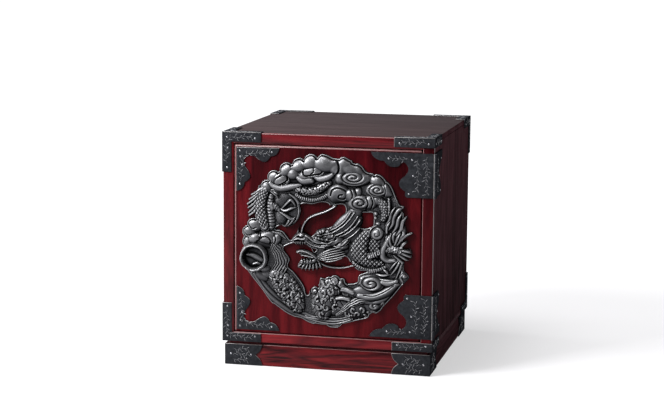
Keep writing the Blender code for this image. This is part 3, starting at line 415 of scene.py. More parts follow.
def fasten(iron, faces):
    """Nails and engraved lines of an iron; a face is (corner, along, up, out, nail places, vines)."""
    heads = bmesh.new()
    drawing = bpy.data.curves.new(iron + "_engraving", "CURVE")
    drawing.dimensions = "3D"
    drawing.bevel_depth = LINE_RADIUS
    drawing.bevel_resolution = 0
    drawing.use_fill_caps = True
    for corner, along, up, out, nails, vines in faces:
        corner, along, up, out = Vector(corner), Vector(along), Vector(up), Vector(out)
        turn = Matrix((along, out.cross(along), out)).transposed().to_4x4()
        for across, rise in nails:
            spot = corner + along * across * MM + up * rise * MM - out * NAIL_SINK
            head = NAIL.copy()
            head.transform(Matrix.Translation(spot) @ turn)
            heads.from_mesh(head)
            bpy.data.meshes.remove(head)
        for line in (line for stem in vines for line in vine_lines(stem)):
            spline = drawing.splines.new("POLY")
            spline.points.add(len(line) - 1)
            for point, (across, rise, thickness) in zip(spline.points, line):
                sunk = out * LINE_RADIUS * thickness * LINE_SINK
                point.co = (*(corner + along * across * MM + up * rise * MM - sunk), 1.0)
                point.radius = thickness
    mesh = bpy.data.meshes.new(iron + "_nails")
    heads.to_mesh(mesh)
    heads.free()
    mesh.materials.append(nail_iron)
    nails_piece = bpy.data.objects.new(iron + "_nails", mesh)
    vines_piece = bpy.data.objects.new(iron + "_engraving", drawing)
    for piece in (nails_piece, vines_piece):
        bpy.context.scene.collection.objects.link(piece)
    make_active(vines_piece)
    bpy.ops.object.convert(target="MESH")
    vines_piece.data.materials.clear()
    vines_piece.data.materials.append(engraved_line)
    nails_piece.select_set(True)
    bpy.context.view_layer.objects.active = nails_piece
    bpy.ops.object.shade_smooth_by_angle(angle=math.radians(40))
    for piece in (nails_piece, vines_piece):
        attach(piece, BODY_OF[iron])


for corner in CORNERS:
    depth, level, side = corner.split("_")
    x, out_x = (LEFT_IRON, -1) if side == "left" else (RIGHT_IRON, 1)
    y, out_y = (IRON_FRONT, -1) if depth == "front" else (BACK_IRON, 1)
    z, out_z = (TOP_IRON, 1) if level == "top" else (CASE_FOOT, -1)
    strip = depth == "front" and side == "right"
    nails = STRIP_NAILS if strip else ANGLE_NAILS
    vines = STRIP_VINE if strip else ANGLE_VINE
    faces = [((x, y, z), (-out_x, 0, 0), (0, 0, -out_z), (0, out_y, 0), nails, vines),
             ((x, y, z), (0, -out_y, 0), (0, 0, -out_z), (out_x, 0, 0), nails, vines)]
    if level == "top":
        faces.append(((x, y, z), (-out_x, 0, 0), (0, -out_y, 0), (0, 0, 1), ANGLE_NAILS, ANGLE_VINE))
    fasten("corner_iron_" + corner, faces)

for depth in ("front", "back"):
    for side in ("left", "right"):
        iron = "plinth_iron_%s_%s" % (depth, side)
        low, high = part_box(iron)
        x, out_x = (low[0], -1) if side == "left" else (high[0], 1)
        y, out_y = (low[1], -1) if depth == "front" else (high[1], 1)
        fasten(iron, [((x, y, 0), (-out_x, 0, 0), (0, 0, 1), (0, out_y, 0), PLINTH_NAILS, PLINTH_VINES),
                      ((x, y, 0), (0, -out_y, 0), (0, 0, 1), (out_x, 0, 0), PLINTH_NAILS, PLINTH_VINES)])

for level, way in (("upper", -1), ("lower", 1)):
    low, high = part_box("door_iron_%s_left" % level)
    edge = high[2] if way < 0 else low[2]
    fasten("door_iron_%s_left" % level,
           [((low[0], low[1], edge), (1, 0, 0), (0, 0, way), (0, -1, 0), DOOR_IRON_NAILS, DOOR_IRON_VINE)])
    low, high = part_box("hinge_%s_door_leaf" % level)
    edge = high[2] if way < 0 else low[2]
    axis_x = high[0] - KNUCKLE_RADIUS
    fasten("hinge_%s_door_leaf" % level,
           [((axis_x, IRON_FRONT, edge), (-1, 0, 0), (0, 0, way), (0, -1, 0), HINGE_NAILS, HINGE_VINES)])
    low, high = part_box("hinge_%s_case_leaf" % level)
    axis_y = low[1] + KNUCKLE_RADIUS
    fasten("hinge_%s_case_leaf" % level,
           [((RIGHT_IRON, axis_y, edge), (0, 1, 0), (0, 0, way), (1, 0, 0), SIDE_LEAF_NAILS,
             SIDE_LEAF_VINES)])


# Drawing of the ring: a figure is a height over the plate, and outside it falls below zero

FULL_RISE = 13.6
FAR = 1e6
COMB = 0.6


def highest(*heights):
    return np.maximum.reduce(heights)


def roll(u, v, place_u, place_v, half_u, above, below, share, turn=0.0):
    """A full swelling, steep at its edge, whose slopes above and below can differ."""
    along, aside = math.cos(math.radians(turn)), math.sin(math.radians(turn))
    up = (v - place_v) * along - (u - place_u) * aside
    across = ((u - place_u) * along + (v - place_v) * aside) / half_u
    reach = np.hypot(across, up / np.where(up > 0.0, above, below))
    swelling = share * FULL_RISE * np.sqrt(np.clip(1.0 - reach ** 2, 0.0, None))
    return np.where(reach < 1.0, swelling, (1.0 - reach) * min(half_u, above, below))


def rolls(u, v, places):
    return highest(*(roll(u, v, *place) for place in places))


def blended(u, v, places, soft=0.5):
    """Rolls that run into one another, with soft valleys between."""
    return soft * np.logaddexp.reduce([roll(u, v, *place) / soft for place in places])


def lobe(u, v, place_u, place_v, half_u, half_v, share, turn=0.0):
    """A swelling that is as steep above as below."""
    return roll(u, v, place_u, place_v, half_u, half_v, half_v, share, turn)


def lobes(u, v, places):
    return highest(*(lobe(u, v, *place) for place in places))


def hooks(places):
    """Short bowed lines, as the curls of foam are: (across, up, size, first turn)."""
    lines = []
    for index, (at_u, at_v, size, start) in enumerate(places):
        way = 1 if index % 2 else -1
        turns = [(size * (1.0 - 0.12 * step), start + way * 0.62 * step) for step in range(7)]
        lines.append([(at_u + reach * math.cos(turn), at_v + reach * math.sin(turn))
                      for reach, turn in turns])
    return lines


def curl(u, v, place_u, place_v, half_u, half_v, turns, depth, start=0.0, way=1):
    """Depth of the groove of a spiral cut into a cloud."""
    across = (u - place_u) / half_u
    up = (v - place_v) / half_v
    reach = np.hypot(across, up)
    turn = reach * turns - way * np.arctan2(up, across) / (2 * math.pi) + start
    crest = np.abs(np.sin(math.pi * turn)) ** COMB
    return depth * (1.0 - crest) * np.clip((1.05 - reach) * 5.0, 0.0, 1.0)


def cut(height, groove):
    """Take a groove out of a height without breaking through its foot."""
    return np.where(height > 0.0, np.maximum(height - groove, np.minimum(height, 0.5)), height)


def legs(u, v, line):
    """For each leg of a line: its ends, the share run at the nearest point, and the offset from there."""
    for start, end in zip(line, line[1:]):
        du, dv = end[0] - start[0], end[1] - start[1]
        length = du * du + dv * dv
        if length > 1e-9:
            t = np.clip(((u - start[0]) * du + (v - start[1]) * dv) / length, 0.0, 1.0)
            yield start, end, t, u - start[0] - t * du, v - start[1] - t * dv


def stroke(u, v, points, share, flat=0.5):
    """A ridge along a line of (across, up, half width): its height, the length run and the offset aside."""
    line = through(points)
    widest = max(point[2] for point in line)
    height = np.full(u.shape, -FAR)
    along = np.zeros(u.shape)
    aside = np.zeros(u.shape)
    run = 0.0
    for (u0, v0, w0), (u1, v1, w1), t, off_u, off_v in legs(u, v, line):
        length = math.hypot(u1 - u0, v1 - v0)
        width = w0 + (w1 - w0) * t
        off = np.hypot(off_u, off_v)
        reach = off / width
        rise = share * FULL_RISE * (width / widest) ** flat
        here = np.where(reach < 1.0, rise * np.sqrt(np.clip(1.0 - reach ** 2, 0.0, None)),
                        (1.0 - reach) * width)
        better = here > height
        height = np.where(better, here, height)
        along = np.where(better, run + t * length, along)
        aside = np.where(better, np.copysign(off, (u1 - u0) * off_v - (v1 - v0) * off_u) / width, aside)
        run += length
    return height, along, aside


def plain(u, v, points, share, flat=0.5):
    return stroke(u, v, points, share, flat)[0]


def ridges(u, v, lines, share, flat=0.5):
    return highest(*(plain(u, v, line, share, flat) for line in lines))


def strands(u, v, points, share, count, depth, flat=0.5, wobble=0.0):
    """A ridge combed into strands that follow it, straight or wavering."""
    height, along, aside = stroke(u, v, points, share, flat)
    place = count * (aside + 1.0) / 2.0 + wobble * np.sin(along * 0.33 + 2.0 * aside)
    return cut(height, depth * (1.0 - np.abs(np.sin(math.pi * place)) ** COMB))


def ribbed(u, v, points, share, pitch, depth):
    """A ridge crossed by ribs, as a belly is."""
    height, along, aside = stroke(u, v, points, share)
    rib = np.abs(np.sin(math.pi * (along + 1.6 * aside ** 2) / pitch)) ** 0.5
    return cut(height, depth * (1.0 - rib))


def scaled(u, v, points, share, pitch, depth):
    """A ridge laid with rows of overlapping scales."""
    height, along, aside = stroke(u, v, points, share)
    side = aside * max(point[2] for point in points)
    reach = pitch * 1.08
    width = pitch * 1.25
    tile = np.zeros(u.shape)
    taken = np.zeros(u.shape, bool)
    first = np.ceil((along - reach) / pitch)
    for extra in range(3):
        row = first + extra
        shift = np.mod(row, 2.0) / 2.0
        middle = (np.round(side / width - shift) + shift) * width
        off = np.hypot(along - row * pitch, (side - middle) * 1.15) / reach
        hit = (off < 1.0) & ~taken
        tile = np.where(hit, off ** 2, tile)
        taken |= hit
    return cut(height, depth * (1.0 - tile))


def crossed(height, one, other, pitch, depth):
    """A height with grooves both ways, at equal steps of two measures, which leave raised diamonds."""
    knob = np.minimum(np.abs(np.sin(math.pi * one / pitch)), np.abs(np.sin(math.pi * other / pitch)))
    return cut(height, depth * (1.0 - knob ** COMB))


def netted(u, v, points, share, pitch, depth):
    """A ridge whose scales are raised diamonds along it."""
    height, along, aside = stroke(u, v, points, share)
    side = aside * max(point[2] for point in points)
    return crossed(height, along + side, along - side, 2.0 * pitch, depth)


def chequered(height, u, v, pitch, depth):
    """Diamonds that lie level, on the skew."""
    return crossed(height, u * 1.15 + v, u * 1.15 - v, pitch, depth)


def away(u, v, points):
    """Distance to a smooth line through points."""
    nearest = np.full(u.shape, FAR)
    for _, _, _, off_u, off_v in legs(u, v, through(points)):
        nearest = np.minimum(nearest, np.hypot(off_u, off_v))
    return nearest


def scored(height, u, v, lines, depth, half=1.3):
    """Cut thin lines into a height."""
    for line in lines:
        height = cut(height, depth * np.clip(1.0 - away(u, v, line) / half, 0.0, 1.0))
    return height


def rounded_by(height, u, v, line, radius, depth, half=1.4):
    """Cut a closed groove at one distance all round a line, which leaves a boss along it."""
    return cut(height, depth * np.clip(1.0 - np.abs(away(u, v, line) - radius) / half, 0.0, 1.0))


def wired(height, u, v, lines, half, lift):
    """Lay thin raised lines over a height."""
    for line in lines:
        off = away(u, v, line)
        crest = lift * np.sqrt(np.clip(1.0 - (off / half) ** 2, 0.0, None))
        height = np.where(off < half, np.maximum(height, 0.0) + crest, np.maximum(height, half - off))
    return height


def knobs(u, v, size, seed):
    """Rounded pebbles set close together, from 0 in the joints to 1 on top."""
    cell_u = np.floor(u / size)
    cell_v = np.floor(v / size)
    nearest = np.full(u.shape, 9.0)
    second = np.full(u.shape, 9.0)
    for step_u in (-1, 0, 1):
        for step_v in (-1, 0, 1):
            at_u = cell_u + step_u
            at_v = cell_v + step_v
            spread_u = np.sin(at_u * 12.9898 + at_v * 78.233 + seed) * 43758.5453
            spread_v = np.sin(at_u * 39.346 + at_v * 11.135 + seed) * 24634.6345
            off = np.hypot(u / size - at_u - 0.15 - 0.7 * (spread_u - np.floor(spread_u)),
                           v / size - at_v - 0.15 - 0.7 * (spread_v - np.floor(spread_v)))
            second = np.minimum(second, np.maximum(nearest, off))
            nearest = np.minimum(nearest, off)
    return np.clip((second - nearest) * 2.2, 0.0, 1.0) ** 0.5


def pebbled(height, u, v, most, lift, size, seed):
    """A low ground, levelled off and set with pebbles."""
    return np.where(height > 0.0, np.minimum(height, most) + lift * knobs(u, v, size, seed), height)


def tangle(u, v, size):
    """Rolls that wind in and out of one another, from 0 between them to 1 on top."""
    a, b = u * math.pi / size, v * math.pi / size
    weave = np.sin(a + 1.3 * np.sin(0.8 * b)) + np.sin(b + 1.3 * np.sin(0.9 * a + 1.0))
    return np.clip(np.abs(weave) * 1.3, 0.0, 1.0) ** 0.5


CROWN_GAP = [(14, 142), (20, 131), (22, 119), (15, 108)]
FOAM_HOOKS = [(30, -127, 5.4, 0.4), (40, -120, 5.6, 2.6), (49, -112, 5.4, 4.6), (45, -127, 5.2, 1.4),
              (56, -120, 5.4, 3.4), (62, -111, 5.2, 5.4), (69, -119, 5.2, 0.9)]
ROCK_HOOKS = [(-86, -62, 6, 0.3), (-75, -60, 6, 2.2), (-65, -66, 6, 4.0), (-81, -72, 6, 1.2),
              (-70, -75, 6.2, 3.3), (-58, -76, 5.8, 5.2), (-76, -84, 5.8, 0.2), (-64, -86, 6.2, 2.0),
              (-52, -88, 5.6, 4.4), (-69, -95, 5.8, 1.0), (-57, -97, 6, 3.0), (-46, -100, 5.2, 5.5),
              (-60, -107, 5.4, 0.6), (-49, -110, 5.4, 2.4), (-50, -120, 5, 4), (-51, -67, 5, 2.8),
              (-46, -79, 5, 0.9), (-40, -90, 4.6, 3.6)]
CREST_HOOKS = [(-8, -74, 5.4, 0.5), (4, -72, 6, 2.5), (16, -70, 6, 4.3), (27, -73, 5.4, 1.0),
               (-15, -86, 5.4, 3.0), (-3, -85, 6, 5.0), (10, -84, 6, 0.8), (-12, -98, 5.6, 1.6),
               (1, -98, 6, 3.8), (13, -97, 5.8, 5.6), (-10, -110, 6, 0.4), (4, -111, 6.2, 2.2),
               (-4, -122, 5.8, 4.2), (18, -110, 6, 1.2)]
HORN_LINES = [[(4, 18), (20, 26), (33, 37), (43, 52)], [(12, 16), (28, 26), (40, 38), (49, 51)],
              [(12, 9), (31, 18), (45, 30), (55, 45)], [(20, 7), (37, 16), (50, 27), (59, 39)],
              [(26, 0), (42, 10), (53, 19), (60, 28)]]
SPINES = [[(-104, 86, 4), (-116, 80, 4), (-127, 73, 1)], [(-108, 81, 4), (-120, 73, 4), (-131, 65, 1)],
          [(-112, 74, 4), (-123, 66, 4), (-134, 57, 1)], [(-115, 66, 4), (-124, 58, 4), (-133, 51, 1)],
          [(-117, 57, 4), (-125, 50, 4), (-132, 43, 1)], [(-117, 49, 4), (-125, 43, 4), (-133, 37, 1)]]
TONGUES = [
    [(136, 63, 0.8), (128, 58, 2.4), (122, 57, 3), (115, 45, 3.2), (113, 34, 3), (106, 24, 1.6)],
    [(127, 52, 1), (122, 42, 2.8), (120, 31, 3), (113, 20, 1.6)],
    [(142, 48, 0.8), (133, 44, 2.4), (129, 36, 3), (127, 26, 3), (119, 16, 1.6)],
    [(116, 62, 1), (110, 52, 2.8), (108, 42, 2.8), (101, 31, 1.4)],
    [(110, 40, 1), (104, 30, 2.6), (103, 20, 2)],
    [(138, 36, 0.8), (133, 28, 2.6), (131, 18, 2.8), (124, 9, 1.6)],
    [(120, 24, 1), (114, 14, 2.8), (115, 4, 2)],
    [(150, 20, 0.8), (139, 18, 3), (130, 12, 3.2), (121, 0, 2)], [(127, 22, 1), (122, 12, 2.8), (117, 0, 2)],
    [(142, 9, 0.8), (133, 4, 2.8), (126, -5, 2)],
    [(110, 18, 1.4), (108, 8, 2.6), (111, -3, 2)], [(103, 14, 1.4), (103, 4, 2.4), (107, -4, 1.6)]]
FEATHERS = [[(120, -6, 2), (134, -4, 2.6), (145, -5, 1)], [(122, -9, 2), (136, -10, 2.8), (149, -13, 1)],
            [(122, -12, 2), (135, -16, 2.8), (147, -21, 1)], [(120, -15, 2), (131, -21, 2.8), (141, -29, 1)],
            [(116, -18, 2), (125, -25, 2.6), (132, -33, 1)]]


def draw_cloud_upper_left(u, v):
    bed = highest(lobes(u, v, [(-80, 99, 27, 18, 0.46), (-46, 110, 28, 19, 0.54), (-12, 119, 32, 21, 0.60)]),
                  plain(u, v, [(-100, 91, 8), (-88, 103, 9), (-67, 116, 9), (-46, 123, 9), (-26, 129, 10),
                               (4, 129, 10), (20, 120, 8)], 0.56))
    crowns = blended(u, v, [
        (-100, 88, 12, 9, 9, 0.56), (-87, 103, 14, 12, 12, 0.60, 30), (-66, 115, 17, 12, 11, 0.68, 35),
        (-46, 122, 16, 12, 11, 0.74, 15), (-27, 128, 18, 14, 12, 0.78, 8), (-2, 127, 25, 16, 15, 0.88),
        (15, 121, 14, 11, 11, 0.80, -28)])
    spiral = rolls(u, v, [(-76, 98, 18, 15, 12, 0.86), (-55, 110, 13, 12, 11, 0.84)])
    spiral = rounded_by(spiral, u, v, [(-81, 97), (-71, 103)], 6.4, 5.0, 1.8)
    spiral = scored(spiral, u, v, [[(-78, 93), (-70, 93), (-66, 96)]], 3.0)
    great = rolls(u, v, [(-22, 114, 25, 13, 12, 0.98), (-36, 108, 13, 11, 10, 0.90)])
    great = rounded_by(great, u, v, [(-32, 115), (-22, 117), (-11, 119)], 6.2, 5.0, 1.8)
    great = scored(great, u, v, [[(-24, 112), (-19, 117), (-20, 121)], [(-43, 112), (-41, 118), (-36, 122)]],
                   3.2, 1.5)
    lower = highest(plain(u, v, [(-95, 95, 4), (-88, 89, 6), (-75, 86, 7.5), (-58, 89, 7), (-42, 93, 4)],
                          0.90),
                    plain(u, v, [(-47, 105, 5), (-37, 100, 8), (-24, 101, 7)], 0.98),
                    plain(u, v, [(-20, 109, 4), (-9, 104.5, 7), (3, 107, 7), (11, 112, 5)], 1.02))
    return highest(scored(highest(bed, crowns), u, v, [CROWN_GAP], 6.0, 2.4), spiral, great, lower)


def draw_cloud_upper_middle(u, v):
    crowns = blended(u, v, [(31, 127, 18, 15, 14, 0.60), (55, 118, 18, 15, 14, 0.62),
                            (22, 117, 14, 15, 12, 0.72), (40, 120, 20, 11, 11, 0.72, -20)])
    great = rolls(u, v, [(46, 106, 30, 15, 14, 1.00), (26, 106, 12, 13, 11, 0.90)])
    great = cut(great, curl(u, v, 47, 109, 22, 12, 2.4, 4.2, 0.4))
    return highest(scored(crowns, u, v, [CROWN_GAP], 6.0, 2.4), great)


def draw_cloud_round(u, v):
    arms = rolls(u, v, [(43, 78, 15, 13, 12, 0.80), (55, 84, 9, 9, 8, 0.58)])
    arms = scored(arms, u, v, [[(42, 69), (46, 79), (42, 89)], [(49, 72), (52, 80), (48, 89)]], 3.4, 1.6)
    scroll = [(9, 78), (12, 87), (21, 91), (33, 87), (37, 80), (32, 73), (23, 74), (24, 79), (29, 80)]
    return highest(arms, scored(roll(u, v, 21, 80, 20, 18, 17, 1.02), u, v, [scroll], 4.4, 1.9))


def draw_cloud_right(u, v):
    back = blended(u, v, [(87, 104, 14, 12, 11, 0.70), (103, 90, 12, 13, 13, 0.80)])
    front = cut(roll(u, v, 86, 89, 21, 13, 13, 0.98), curl(u, v, 88, 90, 17, 11, 2.2, 4.0, 0.6))
    return highest(scored(back, u, v, [[(98, 98), (101, 88), (98, 79)]], 3.0), front)


def draw_cloud_small(u, v):
    height = rolls(u, v, [(56, 66, 20, 15, 14, 0.98), (74, 68, 14, 13, 12, 0.84), (85, 71, 9, 9, 9, 0.60)])
    height = cut(height, curl(u, v, 58, 67, 15, 11, 1.6, 4.2, 0.2))
    return scored(height, u, v, [[(68, 57), (72, 67), (68, 77)], [(77, 59), (80, 69), (77, 77)]], 3.2, 1.6)


def draw_cloud_left(u, v):
    tail = strands(u, v, [(-90, 9, 6), (-80, 10, 6), (-69, 6, 5), (-58, -2, 2)], 0.36, 2, 1.2, 0.2)
    height = blended(u, v, [(-122, 21, 15, 13, 12, 0.60), (-130, 10, 13, 12, 11, 0.56),
                            (-133, -6, 9, 9, 10, 0.52), (-104, -4, 26, 13, 13, 0.52)])
    height = scored(height, u, v, [[(-131, 24), (-125, 17), (-118, 19)], [(-139, 10), (-133, 5), (-126, 7)]],
                    2.6)
    scroll = rolls(u, v, [(-121, 0, 12, 10, 11, 0.88, 20), (-100, 2, 17, 12, 13, 0.94),
                          (-84, 0, 9, 10, 12, 0.84, -20)])
    scroll = scored(scroll, u, v, [
        [(-117, -4), (-112, -1), (-106, 4), (-98, 4), (-93, -1), (-94, -7)],
        [(-112, 11), (-110, 6), (-112, 1)], [(-87, 7), (-84, 1), (-86, -6), (-90, -10)],
        [(-120, -7), (-112, -6), (-104, -7), (-97, -9), (-90, -13)]], 4.4, 1.6)
    return highest(tail, height, scroll)


def draw_cloud_lower_right(u, v):
    ground = rolls(u, v, [(70, -84, 26, 14, 14, 0.50), (50, -112, 24, 16, 16, 0.50),
                          (84, -104, 22, 15, 15, 0.46), (106, -90, 16, 14, 14, 0.50)])
    foam = wired(ground, u, v, hooks(FOAM_HOOKS), 2.1, 3.6)
    foam = np.where(ground > 0.0, foam, ground)
    eye = rolls(u, v, [(61, -60, 12, 11, 11, 0.82), (78, -67, 23, 15, 14, 1.00, -15)])
    eye = cut(eye, curl(u, v, 78, -66, 20, 13, 1.8, 4.6, 0.15, -1))
    long_roll = highest(plain(u, v, [(58, -88, 6), (74, -90, 8), (92, -86, 9), (108, -78, 9), (120, -68, 6)],
                              0.86),
                        plain(u, v, [(62, -97, 4), (80, -99, 5), (98, -94, 6), (114, -86, 5), (122, -76, 3)],
                              0.66),
                        plain(u, v, [(96, -64, 5), (108, -66, 6), (120, -61, 4)], 0.70))
    long_roll = scored(long_roll, u, v, [[(66, -86), (84, -86), (102, -78), (116, -68)]], 2.6)
    curls = rolls(u, v, [(84, -105, 13, 10, 10, 0.76), (100, -100, 11, 9, 9, 0.72)])
    curls = cut(curls, curl(u, v, 85, -104, 13, 10, 1.5, 4.0, 0.1, -1))
    curls = cut(curls, curl(u, v, 101, -99, 11, 9, 1.4, 3.6, 0.5))
    sweep = strands(u, v, [(16, -124, 3), (32, -113, 6), (48, -101, 8), (64, -95, 7), (80, -97, 4)],
                    0.76, 4, 3.4, 0.3, 0.12)
    return highest(ground, foam, curls, sweep, eye, long_roll)


def draw_dragon_body_left(u, v):
    back = netted(u, v, [(-103, 82, 8), (-109, 67, 10), (-111, 52, 11), (-108, 36, 11), (-103, 20, 9)],
                  0.86, 3.6, 2.8)
    belly = ribbed(u, v, [(-93, 72, 5), (-95, 56, 7), (-94, 42, 7), (-92, 28, 7), (-92, 18, 5)], 0.56, 5.0,
                   2.0)
    tuft = strands(u, v, [(-94, 82, 3), (-84, 78, 7), (-74, 71, 6), (-68, 66, 2)], 0.60, 3, 2.0, 0.4)
    thorn = plain(u, v, [(-92, 60, 4), (-91, 53, 5), (-92, 46, 2)], 0.66)
    return highest(back, belly, tuft, thorn, ridges(u, v, SPINES, 0.46, 0.3))


def draw_dragon_claw_left(u, v):
    pad = lobes(u, v, [(-66, 56, 23, 22, 0.20), (-64, 42, 21, 20, 0.18), (-80, 44, 16, 22, 0.22)])
    pad = pebbled(pad, u, v, 1.8, 0.35, 2.6, 1.0)
    palm = cut(lobe(u, v, -76, 38, 11, 14, 0.40), 0.5 * (1.0 - knobs(u, v, 2.4, 4.0)))
    rim = plain(u, v, [(-62, 77, 2), (-52, 70, 3), (-46, 60, 3), (-45, 48, 3), (-47, 36, 3), (-53, 28, 3),
                       (-61, 25, 2)], 0.44)
    talons = ridges(u, v, [[(-74, 53, 2), (-66, 61, 3), (-59, 67, 3.4), (-53, 60, 2), (-52, 55, 1)],
                           [(-76, 51, 2), (-68, 49, 3.4), (-58, 53, 3), (-50, 55, 1)],
                           [(-80, 47, 2), (-68, 41, 3.4), (-58, 35, 3.4), (-52, 39, 1)],
                           [(-60, 38, 2), (-63, 30, 3.2), (-70, 21, 1)],
                           [(-54, 36, 2), (-59, 28, 2.6), (-67, 21, 1)]], 0.62, 0.8)
    arm = scaled(u, v, [(-97, 58, 7), (-88, 55, 7), (-80, 50, 5)], 0.56, 4.0, 1.2)
    return highest(pad, palm, rim, arm, talons)


def draw_dragon_body_arch(u, v):
    back = plain(u, v, [(-52, 90, 7), (-38, 85, 9), (-24, 84, 9), (-10, 88, 9), (4, 97, 7)], 0.34)
    mane = plain(u, v, [(-50, 86, 6), (-36, 83, 8), (-20, 84, 8), (-6, 91, 8), (5, 98, 6)], 0.86)
    mane = cut(mane, 6.5 * (1.0 - tangle(u + 2.0, v + 1.0, 5.0)))
    belly = ribbed(u, v, [(-49, 76, 4), (-38, 70, 5), (-20, 67.5, 5.5), (-7, 71.5, 5), (5, 80, 4.5)], 0.60,
                   3.4, 2.6)
    return highest(back, belly, mane)


def draw_dragon_coil(u, v):
    neck = plain(u, v, [(68, 15, 9), (61, 3, 13), (57, -12, 16), (64, -25, 13), (80, -31, 9), (94, -32, 6)],
                 0.94)
    neck = chequered(neck, u, v, 8.4, 3.2)
    inner = chequered(plain(u, v, [(84, 6, 10), (82, -6, 12), (86, -18, 9)], 0.50), u + 2.0, v, 7.6, 2.6)
    band = ribbed(u, v, [(47, -33, 3), (58, -41, 4.5), (74, -46, 5), (90, -43, 4.5), (102, -37, 4)], 0.52,
                  3.8, 2.4)
    tufts = ridges(u, v, [[(at_u, at_v - 3, 2.6), (at_u - 3, at_v + 4, 1)]
                          for at_u, at_v in through([(75, -20), (83, -17), (93, -12)], 3)], 1.0)
    ribbon = plain(u, v, [(107, 13, 3), (102, 1, 5), (97, -12, 6), (98, -22, 6), (106, -27, 5),
                          (116, -26, 4)], 0.82)
    return highest(neck, inner, band, ribbon, tufts)


def draw_dragon_pearl(u, v):
    ball = cut(lobe(u, v, 87, 16.5, 11.5, 11.5, 0.98), curl(u, v, 86, 17, 11, 11, 1.2, 2.6, 0.30))
    return highest(ball, plain(u, v, [(73, 15, 1), (75, 22, 1.6), (79, 28, 1.6), (85, 31, 1)], 0.50, 0.3))


def draw_dragon_flames(u, v):
    ground = lobes(u, v, [(94, 62, 15, 15, 0.18), (110, 62, 14, 16, 0.16), (110, 38, 20, 22, 0.20),
                          (116, 8, 18, 22, 0.20), (122, -14, 15, 13, 0.18), (99, 2, 14, 14, 0.18)])
    ground = pebbled(ground, u, v, 1.6, 0.5, 3.0, 7.0)
    leg = highest(plain(u, v, [(91, 72, 6), (97, 64, 9), (100, 52, 8), (97, 42, 6)], 0.66),
                  plain(u, v, [(106, 76, 2.4), (107, 62, 2.6), (106, 50, 2.2)], 0.74))
    leg = cut(leg, 2.2 * (1.0 - knobs(u, v, 4.6, 2.0)))
    toes = lobes(u, v, [(84, 50, 4, 4, 0.50), (83, 43, 4, 3, 0.46), (88, 34, 5, 3, 0.50)])
    tongues = [plain(u, v, [(at_u, at_v, 1.3 * half) for at_u, at_v, half in tongue],
                     0.54 + 0.08 * (index % 3))
               for index, tongue in enumerate(TONGUES)]
    arm = scaled(u, v, [(104, -10, 5), (112, -8, 8), (122, -10, 8), (129, -14, 4)], 0.84, 3.6, 2.0)
    return highest(ground, leg, toes, arm, *tongues, ridges(u, v, FEATHERS, 0.56, 0.4))


def draw_dragon_claw_right(u, v):
    ground = lobes(u, v, [(100, -48, 26, 13, 0.20), (116, -42, 16, 15, 0.20)])
    ground = pebbled(ground, u, v, 1.8, 0.5, 3.2, 9.0)
    leaves = ridges(u, v, [
        [(122, -26, 1.4), (115, -34, 2.6), (108, -43, 1)], [(126, -25, 1.4), (120, -38, 2.8), (110, -51, 1)],
        [(130, -24, 1.4), (127, -38, 2.8), (119, -56, 1)], [(133, -34, 1.4), (131, -43, 2.4), (125, -53, 1)],
        [(86, -50, 1.4), (98, -52, 3), (108, -50, 1.4)], [(92, -58, 1.4), (106, -60, 3), (120, -60, 1.4)],
        [(98, -42, 1.4), (104, -46, 2.6), (106, -52, 1)]], 0.60, 0.6)
    diamond = [(136, -44), (137, -44.4), (144, -54), (143.4, -55), (133, -65), (132, -65), (126, -54),
               (126.4, -53), (136, -44)]
    talon = wired(lobe(u, v, 134, -54, 10, 10, 0.34), u, v, [diamond], 1.8, 3.4)
    return highest(ground, talon, lobe(u, v, 134, -52, 5, 4, 0.74), leaves)


